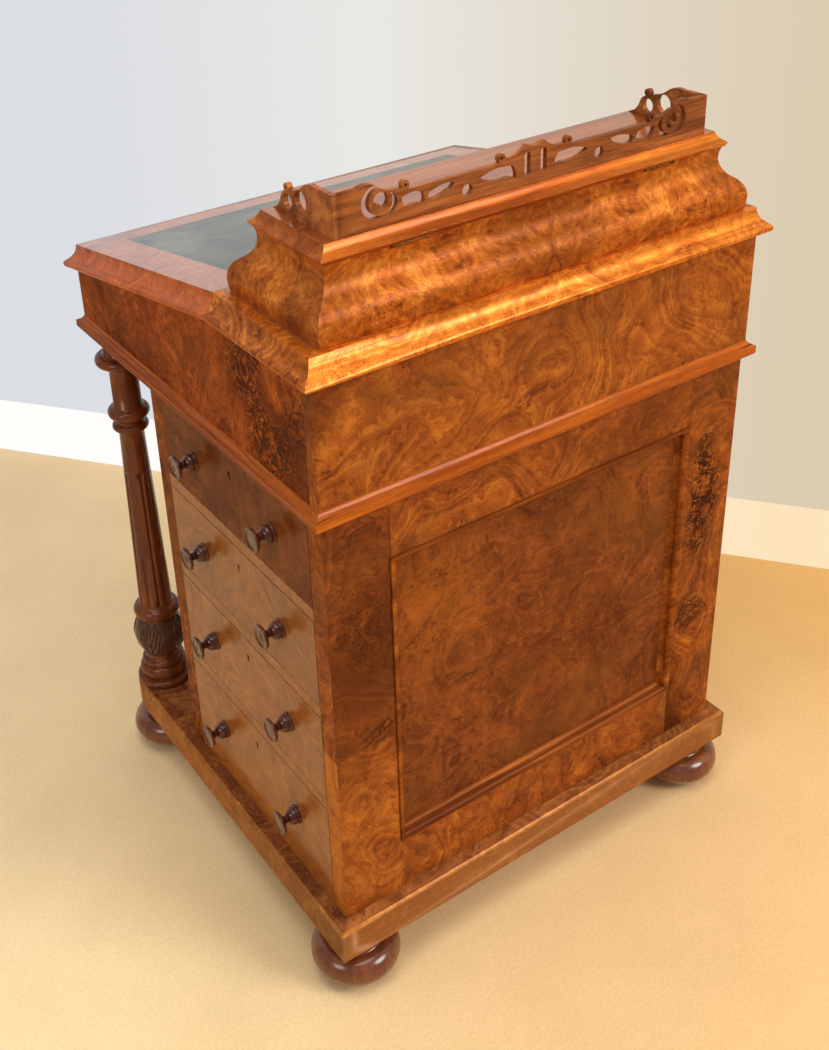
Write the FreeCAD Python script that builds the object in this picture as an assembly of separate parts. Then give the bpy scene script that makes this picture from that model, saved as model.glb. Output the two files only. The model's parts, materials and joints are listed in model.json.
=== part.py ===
import FreeCAD, Part
import math
import os

from FreeCAD import Vector

# A Victorian davenport desk. Millimetres, +Z up, floor at z = 0.
# +Y is the tall back, -Y the writer's side, +X the side on which the drawers open.

# ---- driving dimensions ----

# feet and castors
foot_lift = 8.5             # floor to the underside of a bun foot
foot_ring_height = 35.0     # the flat round of a bun foot
foot_cove_height = 13.5
foot_pad = 3.0
foot_pad_radius = 31.0
foot_radius = 48.5
foot_bottom_radius = 28.0
foot_shoulder_radius = 30.0
foot_neck_radius = 26.5
foot_inset = 37.0           # plinth edge to the middle of a foot
castor_recess_radius = 19.0
castor_recess_depth = 25.0
castor_plate = 2.0
castor_plate_radius = 17.0
castor_stem_radius = 3.0
castor_stem_length = 14.0
wheel_radius = 9.0
wheel_width = 9.0
wheel_trail = 6.0
axle_radius = 1.6
fork_cheek = 2.0
fork_crown = 6.0
fork_flange = 4.0           # crown beyond the cheeks
cheek_back = 4.0            # castor pivot to the back of a cheek
cheek_front = 3.5           # axle to the front of a cheek
cheek_drop = 3.0            # axle to the foot of a cheek
wheel_arris = 1.0
running_gap = 0.3

# plinth
plinth_height = 39.5
plinth_overhang = 16.0
plinth_chamfer = 3.0
arm_radius = 35.5           # rounded end of the arm under each pillar
arm_reach = 104.5           # front of the plinth's body to the middle of a pillar
knee_corner_radius = 40.0

# drawer case
case_step = 2.0             # face of the writing box to the face of the case below it
case_depth = 340.5
case_height = 490.5
carcass_board = 23.5        # knee panel and back frame
sham_board = 12.0
sham_front = 6.0
rail_depth = 20.0
bottom_rail = 12.5
between_rail = 14.5
top_rail = 7.0
drawer_steps = [0.0, 5.5, 11.5, 24.5]   # how much higher each drawer is than the top one, which is first
back_stile_width = 71.0
back_top_rail = 63.5
back_bottom_rail = 68.5
panel_thickness = 9.0
panel_recess = 9.0
panel_moulding_width = 11.0
panel_moulding_proud = 2.0

# drawers
drawer_front = 18.0
drawer_gap = 0.7
drawer_side = 9.0
drawer_bottom = 5.0
drawer_room = 12.0          # back of a closed drawer to the sham side
drawer_side_drop = 7.0      # top of the drawer side below the top of its front
drawer_back_drop = 4.0      # top of the drawer back below the tops of its sides
keyhole_drop = 23.0
keyhole_radius = 2.3
keyhole_slot = 2.4
keyhole_length = 7.0
lock_width = 52.0
lock_height = 34.0
lock_depth = 8.0
knob_spacing = 158.0
knob_face_radius = 13.0
knob_length = 23.0
knob_bell_radius = 10.5
knob_neck_radius = 3.9
knob_spigot_radius = 3.8
knob_spigot = 10.0

# writing box
box_half_width = 265.0
box_depth = 502.0
box_side_height = 138.3     # case top to the underside of the fixed top
box_front_height = 76.3     # case top to the underside of the slope, at the front
box_board = 14.0
box_floor = 10.0
hinge_line_back = 166.0     # back of the box to the hinge line of the slope
waist_height = 17.5
waist_nose = 8.0
top_thickness = 27.2
top_nose = 11.0
top_nose_height = 9.5
top_arris_inset = 1.7
edge_strip = 12.0           # moulded edge strip inside the face of the box
joint_gap = 0.3

# leather
leather_side_margin = 46.0
leather_front_margin = 43.5
leather_back_margin = 43.5
leather_depth = 1.0

# case of small drawers in the writing box
casing_board = 6.0
casing_depth = 140.0
casing_bay_height = 52.0
small_front = 9.0
small_side = 5.0
small_knob_radius = 7.0
small_knob_length = 14.0
small_side_drop = 5.0
small_spigot_radius = 2.5
small_spigot = 6.0
small_travel_room = 2.0

# stationery compartment
stationery_side_inset = 15.5    # side of the box to the side of the compartment
stationery_depth = 151.4
stationery_back_inset = 6.5     # back of the box to the back of the compartment
ogee_bulge = 1.5
ogee_bulge_height = 14.0
ogee_neck_inset = 20.6
ogee_neck_height = 54.0
ogee_shoulder_radius = 23.0
wall_height = 64.0
wall_neck_thickness = 11.0
lid_thickness = 15.5
lid_nose_inset = 15.0
lid_nose_height = 4.8
lid_arris_inset = 24.4
divider_board = 4.0
divider_height = 42.0
divider_spacing = 240.0
divider_back_gap = 34.0

# gallery
gallery_height = 38.0
gallery_thickness = 8.0
gallery_edge_inset = 11.6       # lid arris to the face of a gallery side
gallery_back_inset = 2.6        # lid arris to the face of the gallery back
gallery_rail_top = 26.0
gallery_pattern_half = 205.5    # half length on which the fret of the back is drawn
gallery_scroll = 166.5          # middle of that length to the eye of the large scroll

# pillars
# its lengths from the plinth up, each with the radius that it swells or narrows to
pillar_base_radius = 35.0
pillar_base_height = 9.5
pillar_torus_radius = 30.5
pillar_torus_height = 17.0
pillar_step_radius = 26.5
pillar_step_height = 9.5
pillar_neck_radius = 21.5
pillar_neck_height = 10.0
pillar_ball_radius = 32.0
pillar_ball_height = 52.0
pillar_low_ring_radius = 29.0
pillar_low_ring_height = 18.0
pillar_low_cove_height = 3.0
pillar_shaft_foot_radius = 20.5
pillar_shaft_top_radius = 14.6
pillar_small_ring_radius = 21.4
pillar_small_ring_height = 9.5
pillar_crown_cove_height = 7.5
pillar_big_ring_radius = 24.6
pillar_big_ring_height = 13.0
pillar_crown_neck_radius = 16.4
pillar_crown_neck_height = 56.5
pillar_capital_radius = 30.5
pillar_capital_height = 12.0
pillar_head_radius = 20.0
pillar_head_height = 22.0
flute_count = 10
flute_radius = 1.8
flute_top_room = 60.0           # top of a long flute to the top of the shaft
flute_short = 70.0
flute_start = 3.0               # foot of the shaft to the foot of a flute
flute_stand_off = 0.25          # axis of a flute outside the shaft's face, as a share of its radius
flute_turn = 8.0                # the drawer side's direction to the nearest long flute, in degrees

# butt hinges
slope_hinge_length = 54.0
slope_hinge_leaf = 21.0
slope_hinge_sheet = 1.3
slope_knuckle_radius = 2.8
slope_hinge_spacing = 330.0
lid_hinge_length = 38.0
lid_hinge_leaf = 12.0
lid_hinge_sheet = 0.9
lid_knuckle_radius = 1.3
lid_hinge_spacing = 290.0
leaf_gap = 0.1              # middle of a joint to the face of a leaf
pin_share = 0.45            # radius of a hinge pin as a share of its knuckle's

# how far a cutting shape runs past what it cuts
past = 1.0
far_past = 400.0

# ---- levels and faces worked out from them ----

foot_height = foot_ring_height + foot_cove_height + foot_pad
z_plinth = foot_lift + foot_height
z_case = z_plinth + plinth_height
z_box = z_case + case_height
z_under_top = z_box + box_side_height
z_under_front = z_box + box_front_height
z_top = z_under_top + top_thickness
z_under_lid = z_top + wall_height
z_lid_top = z_under_lid + lid_thickness

case_half_width = box_half_width - case_step
stationery_half_width = box_half_width - stationery_side_inset
drawer_length = 2 * case_half_width - sham_front - sham_board - drawer_room - drawer_front
drawer_room_height = case_height - bottom_rail - top_rail - between_rail * (len(drawer_steps) - 1)
top_drawer_height = (drawer_room_height - sum(drawer_steps)) / len(drawer_steps)
drawer_heights = [top_drawer_height + step for step in drawer_steps]
pillar_carved_height = (pillar_base_height + pillar_torus_height + pillar_step_height + pillar_neck_height
                        + pillar_ball_height + pillar_low_ring_height + pillar_low_cove_height)
pillar_crown_height = (pillar_small_ring_height + pillar_crown_cove_height + pillar_big_ring_height
                       + pillar_crown_neck_height + pillar_capital_height + pillar_head_height)
pillar_shaft_height = case_height - pillar_carved_height - pillar_crown_height
flute_long = pillar_shaft_height - flute_start - flute_top_room
# the rear bun feet and the nose of the cornice at the front are the two ends of the depth
y_box_back = (box_depth + top_nose + case_step - plinth_overhang + foot_inset - foot_radius) / 2
y_box_front = y_box_back - box_depth
y_case_back = y_box_back - case_step
y_case_front = y_case_back - case_depth
y_plinth_back = y_case_back + plinth_overhang
y_plinth_front = y_case_front - plinth_overhang
y_pillar = y_plinth_front - arm_reach
y_hinge = y_box_back - hinge_line_back
y_drawer_front_end = y_case_front + carcass_board
y_drawer_back_end = y_case_back - carcass_board
y_drawer_middle = (y_drawer_front_end + y_drawer_back_end) / 2
y_stationery_back = y_box_back - stationery_back_inset
y_stationery_front = y_stationery_back - stationery_depth

plinth_half_width = case_half_width + plinth_overhang
x_pillar = plinth_half_width - arm_radius
slope_rise = (box_side_height - box_front_height) / (y_hinge - y_box_front)

parts = {}


# ---- helpers ----

def box(x1, x2, y1, y2, z1, z2):
    return Part.makeBox(x2 - x1, y2 - y1, z2 - z1, Vector(x1, y1, z1))


def outline(points, plane, at=0.0):
    """A face from a list of ends, each a point, or a pair of a point on an arc and the arc's end."""
    def place(p):
        if plane == "xz":
            return Vector(p[0], at, p[1])
        if plane == "yz":
            return Vector(at, p[0], p[1])
        return Vector(p[0], p[1], at)
    edges = []
    last = place(points[0])
    for step in points[1:] + [points[0]]:
        if isinstance(step[0], tuple):
            edges.append(Part.Arc(last, place(step[0]), place(step[1])).toShape())
            last = place(step[1])
            continue
        end = place(step)
        if end.distanceToPoint(last) > 1e-6:
            edges.append(Part.LineSegment(last, end).toShape())
        last = end
    return Part.Face(Part.Wire(edges))


def prism(points, plane, start, length):
    along = {"xz": Vector(0, length, 0), "yz": Vector(length, 0, 0), "xy": Vector(0, 0, length)}[plane]
    return outline(points, plane, start).extrude(along)


def turning(points, x, y, z):
    """A turned piece about a vertical axis, from radius and height pairs that begin and end on the axis."""
    solid = outline(points, "xz").revolve(Vector(0, 0, 0), Vector(0, 0, 1), 360)
    solid.translate(Vector(x, y, z))
    return solid


def each_point(points, change):
    """The outline with a change made to every point of it, the middles of its arcs among them."""
    return [(change(p[0]), change(p[1])) if isinstance(p[0], tuple) else change(p) for p in points]


def mirrored(points):
    """The reflection of an outline in its second axis, in drawing order."""
    flipped = []
    ends = [p[1] if isinstance(p[0], tuple) else p for p in points]
    for index in range(len(points) - 1, -1, -1):
        end = (-ends[index][0], ends[index][1])
        before = points[index + 1] if index + 1 < len(points) else None
        if before is not None and isinstance(before[0], tuple):
            flipped.append(((-before[0][0], before[0][1]), end))
        else:
            flipped.append(end)
    return flipped


def moulded_block(profile, half_width, y_front, y_back, z):
    """A rectangular block whose four edges have the profile, mitred at the corners.
    The profile is a list of outward and upward offsets from the foot of a face to its top."""
    middle = (y_front + y_back) / 2
    half_depth = (y_back - y_front) / 2
    across = each_point(profile, lambda p: (half_width + p[0], z + p[1]))
    centred = each_point(profile, lambda p: (half_depth + p[0], z + p[1]))
    reach = 2 * (half_width + y_back - y_front)
    wide = prism(across + mirrored(across), "xz", middle - reach / 2, reach)
    deep = prism(centred + mirrored(centred), "yz", -reach / 2, reach)
    deep.translate(Vector(0, middle, 0))
    return wide.common(deep)


def mitred_sides(block, half_width, y_front, y_back, z1, z2, thickness, names):
    """The four mitred lengths of a ring-shaped block, by the side on which each lies."""
    near = thickness * 1.5
    far = far_past
    corners = {
        "right": [(half_width + far, y_front - far), (half_width + far, y_back + far),
                  (half_width - near, y_back - near), (half_width - near, y_front + near)],
        "left": [(-half_width - far, y_front - far), (-half_width - far, y_back + far),
                 (-half_width + near, y_back - near), (-half_width + near, y_front + near)],
        "back": [(-half_width - far, y_back + far), (half_width + far, y_back + far),
                 (half_width - near, y_back - near), (-half_width + near, y_back - near)],
        "front": [(-half_width - far, y_front - far), (half_width + far, y_front - far),
                  (half_width - near, y_front + near), (-half_width + near, y_front + near)],
    }
    return [block.common(prism(corners[name], "xy", z1, z2 - z1)) for name in names]


def knob(face_radius, length, bell_radius, neck_radius, spigot_radius, spigot):
    """A turned knob along +Z, its flange at z = 0: a bell, a thin neck and a dished face with a round rim."""
    points = [(0, -spigot), (spigot_radius, -spigot), (spigot_radius, 0), (0.92 * bell_radius, 0),
              (bell_radius, 0.03 * length), (bell_radius, 0.06 * length), (0.9 * bell_radius, 0.09 * length),
              ((0.84 * bell_radius, 0.3 * length), (neck_radius, 0.56 * length)),
              ((1.25 * neck_radius, 0.7 * length), (0.66 * face_radius, 0.8 * length)),
              (0.94 * face_radius, 0.85 * length),
              ((face_radius, 0.92 * length), (0.88 * face_radius, length)),
              (0.74 * face_radius, 0.95 * length), (0.55 * face_radius, 0.94 * length), (0, 0.97 * length)]
    return turning(points, 0, 0, 0)


def set_knob(solid, x, y, z, toward):
    """The knob with its axis along X, its face toward +1 or -1."""
    solid = solid.copy()
    solid.rotate(Vector(0, 0, 0), Vector(0, 1, 0), 90 * toward)
    solid.translate(Vector(x, y, z))
    return solid


def group(solids):
    return Part.makeCompound(solids)


# ---- feet and castors ----

def bun_foot(x, y):
    z_pad = foot_height - foot_pad
    points = [(0, 0), (foot_bottom_radius, 0),
              ((foot_radius, foot_ring_height / 2), (foot_shoulder_radius, foot_ring_height)),
              ((foot_neck_radius, foot_ring_height + foot_cove_height / 2), (foot_shoulder_radius, z_pad)),
              (foot_pad_radius, z_pad), (foot_pad_radius, foot_height), (0, foot_height)]
    foot = turning(points, x, y, foot_lift)
    recess = Part.makeCylinder(castor_recess_radius, castor_recess_depth, Vector(x, y, foot_lift))
    z_socket = foot_lift + castor_recess_depth
    bore = Part.makeCylinder(castor_stem_radius + running_gap, castor_stem_length + running_gap,
                             Vector(x, y, z_socket))
    return foot.cut(recess).cut(bore)


def castor_socket(x, y):
    z = foot_lift + castor_recess_depth - castor_plate
    plate = Part.makeCylinder(castor_plate_radius, castor_plate, Vector(x, y, z))
    return plate.cut(Part.makeCylinder(castor_stem_radius + running_gap, castor_plate, Vector(x, y, z)))


def castor_fork(x, y):
    """A crown and two cheeks with the stem and the axle; the wheel trails toward +X."""
    z_crown = foot_lift + castor_recess_depth - castor_plate - running_gap
    half = wheel_width / 2 + running_gap
    plate = fork_crown - castor_plate
    crown = Part.makeCylinder(half + fork_cheek + fork_flange, plate, Vector(x, y, z_crown - plate))
    stem = Part.makeCylinder(castor_stem_radius, castor_stem_length + castor_plate, Vector(x, y, z_crown))
    fork = crown.fuse(stem)
    for side in (-1, 1):
        inner = y + side * half
        outer = y + side * (half + fork_cheek)
        cheek = box(x - cheek_back, x + wheel_trail + cheek_front, min(inner, outer), max(inner, outer),
                    wheel_radius - cheek_drop, z_crown - plate / 2)
        fork = fork.fuse(cheek)
    axle = Part.makeCylinder(axle_radius, 2 * (half + fork_cheek),
                             Vector(x + wheel_trail, y - half - fork_cheek, wheel_radius), Vector(0, 1, 0))
    return fork.fuse(axle).removeSplitter()


def castor_wheel(x, y):
    half = wheel_width / 2
    bore = axle_radius + running_gap / 2
    rim = wheel_radius - wheel_arris
    points = [(bore, -half), (rim, -half), ((wheel_radius, 0), (rim, half)), (bore, half)]
    wheel = outline(points, "xz").revolve(Vector(0, 0, 0), Vector(0, 0, 1), 360)
    wheel.rotate(Vector(0, 0, 0), Vector(1, 0, 0), 90)
    wheel.translate(Vector(x + wheel_trail, y, wheel_radius))
    return wheel


foot_places = {
    "back_right": (plinth_half_width - foot_inset, y_plinth_back - foot_inset),
    "back_left": (-plinth_half_width + foot_inset, y_plinth_back - foot_inset),
    "front_right": (x_pillar, y_pillar),
    "front_left": (-x_pillar, y_pillar),
}
for place, (foot_x, foot_y) in foot_places.items():
    parts["bun_foot_" + place] = bun_foot(foot_x, foot_y)
    parts["castor_fork_" + place] = castor_fork(foot_x, foot_y)
    parts["castor_wheel_" + place] = castor_wheel(foot_x, foot_y)
parts["castor_sockets"] = group([castor_socket(*at) for at in foot_places.values()])


# ---- plinth ----

def plinth():
    inner = x_pillar - arm_radius
    corner = knee_corner_radius
    arc_middle = corner * math.sqrt(0.5)
    right = [(plinth_half_width, y_plinth_back), (plinth_half_width, y_pillar),
             ((x_pillar, y_pillar - arm_radius), (inner, y_pillar)),
             (inner, y_plinth_front - corner),
             ((inner - corner + arc_middle, y_plinth_front - corner + arc_middle),
              (inner - corner, y_plinth_front))]
    slab = prism(right + mirrored(right), "xy", z_plinth, plinth_height)
    rim = [edge for edge in slab.Edges if edge.BoundBox.ZMin > z_case - 0.01]
    return slab.makeChamfer(plinth_chamfer, rim)


parts["plinth"] = plinth()


# ---- pillars ----

def swell(z, height, radius, end):
    """One arc of a turned profile from height z, out or in to the radius half way up, and back to its end."""
    return (radius, z + height / 2), (end, z + height)


def pillar(x, y, turn):
    z_torus = pillar_base_height
    z_step = z_torus + pillar_torus_height
    z_neck = z_step + pillar_step_height
    z_ball = z_neck + pillar_neck_height
    half_ball = pillar_ball_height / 2
    z_low_ring = z_ball + pillar_ball_height
    z_shaft = pillar_carved_height
    z_cove = z_shaft - pillar_low_cove_height
    z_small_ring = z_shaft + pillar_shaft_height
    z_crown_cove = z_small_ring + pillar_small_ring_height
    z_big_ring = z_crown_cove + pillar_crown_cove_height
    z_crown_neck = z_big_ring + pillar_big_ring_height
    z_capital = z_crown_neck + pillar_crown_neck_height
    z_head = z_capital + pillar_capital_height
    narrow = pillar_neck_radius + 1.0
    points = [
        (0, 0), (pillar_base_radius - 3.5, 0),
        swell(0, pillar_base_height, pillar_base_radius, pillar_base_radius - 4.5),
        (pillar_torus_radius - 3.0, z_torus + 1.0),
        swell(z_torus + 1.0, pillar_torus_height - 1.0, pillar_torus_radius, pillar_torus_radius - 4.5),
        (pillar_step_radius - 2.0, z_step + 0.5),
        swell(z_step + 0.5, pillar_step_height - 0.5, pillar_step_radius, narrow),
        swell(z_neck, pillar_neck_height, pillar_neck_radius, narrow),
        swell(z_ball, half_ball, pillar_ball_radius - 2.6, pillar_ball_radius),
        swell(z_ball + half_ball, half_ball, pillar_ball_radius - 2.6, narrow),
        (pillar_low_ring_radius - 6.0, z_low_ring + 2.5),
        swell(z_low_ring + 2.5, pillar_low_ring_height - 2.5, pillar_low_ring_radius,
              pillar_low_ring_radius - 6.0),
        swell(z_cove, pillar_low_cove_height, pillar_shaft_foot_radius + 0.6, pillar_shaft_foot_radius),
        (pillar_shaft_top_radius, z_small_ring), (pillar_small_ring_radius - 4.0, z_small_ring + 0.5),
        swell(z_small_ring + 0.5, pillar_small_ring_height - 0.5, pillar_small_ring_radius,
              pillar_small_ring_radius - 4.0),
        swell(z_crown_cove, pillar_crown_cove_height, pillar_crown_neck_radius + 0.6,
              pillar_big_ring_radius - 5.0),
        swell(z_big_ring, pillar_big_ring_height, pillar_big_ring_radius, pillar_big_ring_radius - 5.0),
        (pillar_crown_neck_radius, z_crown_neck + 1.5), (pillar_crown_neck_radius, z_capital - 9.0),
        ((pillar_crown_neck_radius + 1.8, z_capital - 3.2), (pillar_capital_radius - 6.5, z_capital)),
        swell(z_capital, pillar_capital_height, pillar_capital_radius, pillar_capital_radius - 6.5),
        (pillar_head_radius, z_head + 2.5), (pillar_head_radius, case_height), (0, case_height),
    ]
    solid = turning(points, 0, 0, 0)
    # turned so that its seam lies between two flutes
    solid.rotate(Vector(0, 0, 0), Vector(0, 0, 1), 180.0 / flute_count)
    slant = (pillar_shaft_foot_radius - pillar_shaft_top_radius) / pillar_shaft_height
    reach = pillar_shaft_foot_radius - slant * flute_start + flute_stand_off * flute_radius
    start = Vector(reach, 0, z_shaft + flute_start)
    corner = flute_radius * math.sqrt(0.5)
    grooves = []
    for index in range(flute_count):
        length = flute_long if index % 2 == 0 else flute_short
        groove = turning([(0, -flute_radius), ((corner, -corner), (flute_radius, 0)), (flute_radius, length),
                          ((corner, length + corner), (0, length + flute_radius))], 0, 0, 0)
        groove.rotate(Vector(0, 0, 0), Vector(0, 1, 0), -math.degrees(math.atan(slant)))
        groove.translate(start)
        groove.rotate(Vector(0, 0, 0), Vector(0, 0, 1), 360.0 * index / flute_count)
        grooves.append(groove)
    solid = solid.cut(grooves)
    solid.rotate(Vector(0, 0, 0), Vector(0, 0, 1), turn)
    solid.translate(Vector(x, y, z_case))
    return solid


# the two are mirror images, each with its long flutes set from its own outer side
parts["pillar_right"] = pillar(x_pillar, y_pillar, flute_turn)
parts["pillar_left"] = pillar(-x_pillar, y_pillar, 180.0 - flute_turn)


# ---- drawer case ----

def back_frame():
    y1 = y_drawer_back_end
    w = case_half_width
    inner = w - back_stile_width
    top = z_box - back_top_rail
    stile_right = box(inner, w, y1, y_case_back, z_case, z_box)
    stile_left = box(-w, -inner, y1, y_case_back, z_case, z_box)
    rail_top = box(-inner, inner, y1, y_case_back, top, z_box)
    rail_bottom = box(-inner, inner, y1, y_case_back, z_case, z_case + back_bottom_rail)
    return group([stile_right, stile_left, rail_top, rail_bottom])


def back_panel_pieces():
    inner = case_half_width - back_stile_width
    z1 = z_case + back_bottom_rail
    z2 = z_box - back_top_rail
    y2 = y_case_back - panel_recess
    panel = box(-inner, inner, y2 - panel_thickness, y2, z1, z2)
    width = panel_moulding_width
    proud = panel_recess + panel_moulding_proud
    profile = [(0, 0), (0, proud), (0.25 * width, proud),
               ((0.5 * width, 0.85 * proud), (0.6 * width, 0.5 * proud)),
               ((0.75 * width, 0.18 * proud), (width, 0))]
    lengths = []
    middle_z = (z1 + z2) / 2
    half_height = (z2 - z1) / 2
    for span, half in ((half_height, inner), (inner, half_height)):
        # drawn lying flat along X at distance span from the middle, then turned into place
        flat = each_point(profile, lambda p: (y2 + p[1], p[0] - span))
        length = prism(flat, "yz", -half, 2 * half)
        far = span + past
        near = span - width * 1.5
        mitre = prism([(-half - past, -far), (half + past, -far),
                       (half - width * 1.5, -near), (-half + width * 1.5, -near)], "xz", y2 - past,
                      proud + 2 * past)
        length = length.common(mitre)
        quarter_turns = (0, 2) if span == half_height else (1, 3)
        for turns in quarter_turns:
            piece = length.copy()
            piece.rotate(Vector(0, 0, 0), Vector(0, 1, 0), 90 * turns)
            piece.translate(Vector(0, 0, middle_z))
            lengths.append(piece)
    return panel, group(lengths)


def knee_panel():
    return box(-case_half_width, case_half_width, y_case_front, y_drawer_front_end, z_case, z_box)


def drawer_levels():
    """The lowest and highest point of each drawer opening, the top drawer first."""
    levels = []
    z = z_case + bottom_rail
    for height in reversed(drawer_heights):
        levels.insert(0, (z, z + height))
        z += height + between_rail
    return levels


openings = drawer_levels()


def rail_levels():
    """The lowest and highest point of each rail, the lowest rail first."""
    spans = [(z_case, openings[-1][0])]
    for index in range(len(openings) - 1, 0, -1):
        spans.append((openings[index][1], openings[index - 1][0]))
    spans.append((openings[0][1], z_box))
    return spans


def drawer_rails():
    x1, x2 = case_half_width - rail_depth, case_half_width
    y1, y2 = y_drawer_front_end, y_drawer_back_end
    return group([box(x1, x2, y1, y2, low, high) for low, high in rail_levels()])


def dust_boards():
    x1 = -case_half_width + sham_front + sham_board
    x2 = case_half_width - rail_depth
    y1, y2 = y_drawer_front_end, y_drawer_back_end
    return group([box(x1, x2, y1, y2, low, high) for low, high in rail_levels()[:-1]])


def sham_side():
    x1 = -case_half_width
    x2 = x1 + sham_front
    board = box(x2, x2 + sham_board, y_drawer_front_end, y_drawer_back_end, z_case, z_box)
    for low, high in rail_levels():
        board = board.fuse(box(x1, x1 + sham_front, y_drawer_front_end, y_drawer_back_end, low, high))
    return board.removeSplitter()


def sham_fronts():
    fronts = []
    x1 = -case_half_width
    for low, high in openings:
        front = box(x1, x1 + sham_front, y_drawer_front_end + drawer_gap, y_drawer_back_end - drawer_gap,
                    low + drawer_gap, high - drawer_gap)
        for knob_y in knob_places:
            front = front.cut(Part.makeCylinder(knob_spigot_radius, sham_front,
                                                Vector(x1, knob_y, (low + high) / 2), Vector(1, 0, 0)))
        fronts.append(front)
    return group(fronts)


knob_places = (y_drawer_middle - knob_spacing / 2, y_drawer_middle + knob_spacing / 2)
knob_sizes = (knob_face_radius, knob_length, knob_bell_radius, knob_neck_radius, knob_spigot_radius)
turned_knob = knob(*knob_sizes, knob_spigot)
sham_knob = knob(*knob_sizes, sham_front)

parts["back_frame"] = back_frame()
parts["back_panel"], parts["back_panel_moulding"] = back_panel_pieces()
parts["knee_panel"] = knee_panel()
parts["drawer_rails"] = drawer_rails()
parts["dust_boards"] = dust_boards()
parts["sham_side"] = sham_side()
parts["sham_fronts"] = sham_fronts()
parts["sham_knobs"] = group([set_knob(sham_knob, -case_half_width, knob_y, (low + high) / 2, -1)
                             for low, high in openings for knob_y in knob_places])


# ---- drawers ----

def drawer(low, high):
    """Front, box, lock and knobs of the drawer that fills the opening from low to high."""
    x2 = case_half_width
    x1 = x2 - drawer_front
    y1 = y_drawer_front_end + drawer_gap
    y2 = y_drawer_back_end - drawer_gap
    z1 = low + running_gap
    z2 = high - drawer_gap
    front = box(x1, x2, y1, y2, z1, z2)
    z_key = high - keyhole_drop
    z_knob = (low + high) / 2
    for knob_y in knob_places:
        front = front.cut(Part.makeCylinder(knob_spigot_radius, knob_spigot,
                                            Vector(x2 - knob_spigot, knob_y, z_knob), Vector(1, 0, 0)))
    keyhole = Part.makeCylinder(keyhole_radius, drawer_front, Vector(x1, y_drawer_middle, z_key),
                                Vector(1, 0, 0))
    slot = box(x1, x2, y_drawer_middle - keyhole_slot / 2, y_drawer_middle + keyhole_slot / 2,
               z_key - keyhole_length, z_key)
    lock = box(x1, x1 + lock_depth, y_drawer_middle - lock_width / 2, y_drawer_middle + lock_width / 2,
               z2 - lock_height, z2)
    front = front.cut(keyhole).cut(slot).cut(lock)
    lock = lock.cut(keyhole).cut(slot)
    side_top = z2 - drawer_side_drop
    x_end = x2 - drawer_front - drawer_length
    side_1 = box(x_end, x1, y1, y1 + drawer_side, z1, side_top)
    side_2 = box(x_end, x1, y2 - drawer_side, y2, z1, side_top)
    back = box(x_end, x_end + drawer_side, y1 + drawer_side, y2 - drawer_side, z1 + drawer_bottom,
               side_top - drawer_back_drop)
    bottom = box(x_end, x1, y1 + drawer_side, y2 - drawer_side, z1, z1 + drawer_bottom)
    knobs = [set_knob(turned_knob, x2, knob_y, z_knob, 1) for knob_y in knob_places]
    return front, group([side_1, side_2, back, bottom]), lock, group(knobs)


for index, (low, high) in enumerate(openings):
    number = str(index + 1)
    front, tray, lock, knobs = drawer(low, high)
    parts["drawer_front_" + number] = front
    parts["drawer_box_" + number] = tray
    parts["drawer_lock_" + number] = lock
    parts["drawer_knobs_" + number] = knobs


# ---- writing box ----

def slope_z(y):
    """Height of the top edge of the box side at y."""
    return z_under_front + slope_rise * (y - y_box_front)


def box_sides():
    """The sides, which stop at the inner face of the back: its veneer runs through to both corners."""
    y2 = y_box_back - box_board
    points = [(y_box_front, z_box), (y2, z_box), (y2, z_under_top), (y_hinge, z_under_top),
              (y_box_front, z_under_front)]
    return group([prism(points, "yz", box_half_width - box_board, box_board),
                  prism(points, "yz", -box_half_width, box_board)])


def box_front():
    y2 = y_box_front + box_board
    inner = box_half_width - box_board
    board = prism([(y_box_front, z_box), (y2, z_box), (y2, slope_z(y2)), (y_box_front, z_under_front)], "yz",
                  -inner, 2 * inner)
    z_key = z_under_front - keyhole_drop
    hole = Part.makeCylinder(keyhole_radius, box_board, Vector(0, y_box_front, z_key), Vector(0, 1, 0))
    slot = box(-keyhole_slot / 2, keyhole_slot / 2, y_box_front, y2, z_key - keyhole_length, z_key)
    return board.cut(hole).cut(slot)


def waist_moulding():
    nose = waist_nose
    height = waist_height
    profile = [(0, 0), (0.5 * nose, 0), ((0.88 * nose, 0.1 * height), (nose, 0.3 * height)),
               (nose, 0.62 * height), ((0.5 * nose, 0.72 * height), (0, height))]
    block = moulded_block(profile, box_half_width, y_box_front, y_box_back, z_box)
    low, high = z_box - past, z_box + height + past
    ring = block.cut(box(-box_half_width, box_half_width, y_box_front, y_box_back, low, high))
    return group(mitred_sides(ring, box_half_width, y_box_front, y_box_back, low, high, nose,
                              ("front", "back", "left", "right")))


def top_edge_profile():
    """The moulded edge of the fixed top and of the slope, from the underside to the arris."""
    return [(0, 0), (0.6 * top_nose, 1.0),
            ((top_nose, 0.5 * top_nose_height), (0.82 * top_nose, top_nose_height)),
            (0.7 * top_nose, top_nose_height + 1.2),
            ((0.1 * top_nose, 0.62 * top_thickness), (-top_arris_inset, top_thickness))]


def fixed_top():
    """The plain board behind the hinge line, and its three mitred lengths of cornice."""
    inner = box_half_width - edge_strip
    y1 = y_hinge + joint_gap
    board = box(-inner, inner, y1, y_box_back - edge_strip, z_under_top, z_top)
    low, high = z_under_top - past, z_top + past
    block = moulded_block(top_edge_profile(), box_half_width, y_box_front, y_box_back, z_under_top)
    ring = block.cut(box(-inner, inner, y_box_front, y_box_back - edge_strip, low, high))
    ring = ring.common(box(-inner - far_past, inner + far_past, y1, y_box_back + far_past, low, high))
    lengths = mitred_sides(ring, box_half_width, y_box_front, y_box_back, low, high, edge_strip,
                           ("back", "left", "right"))
    return board, lengths


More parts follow.
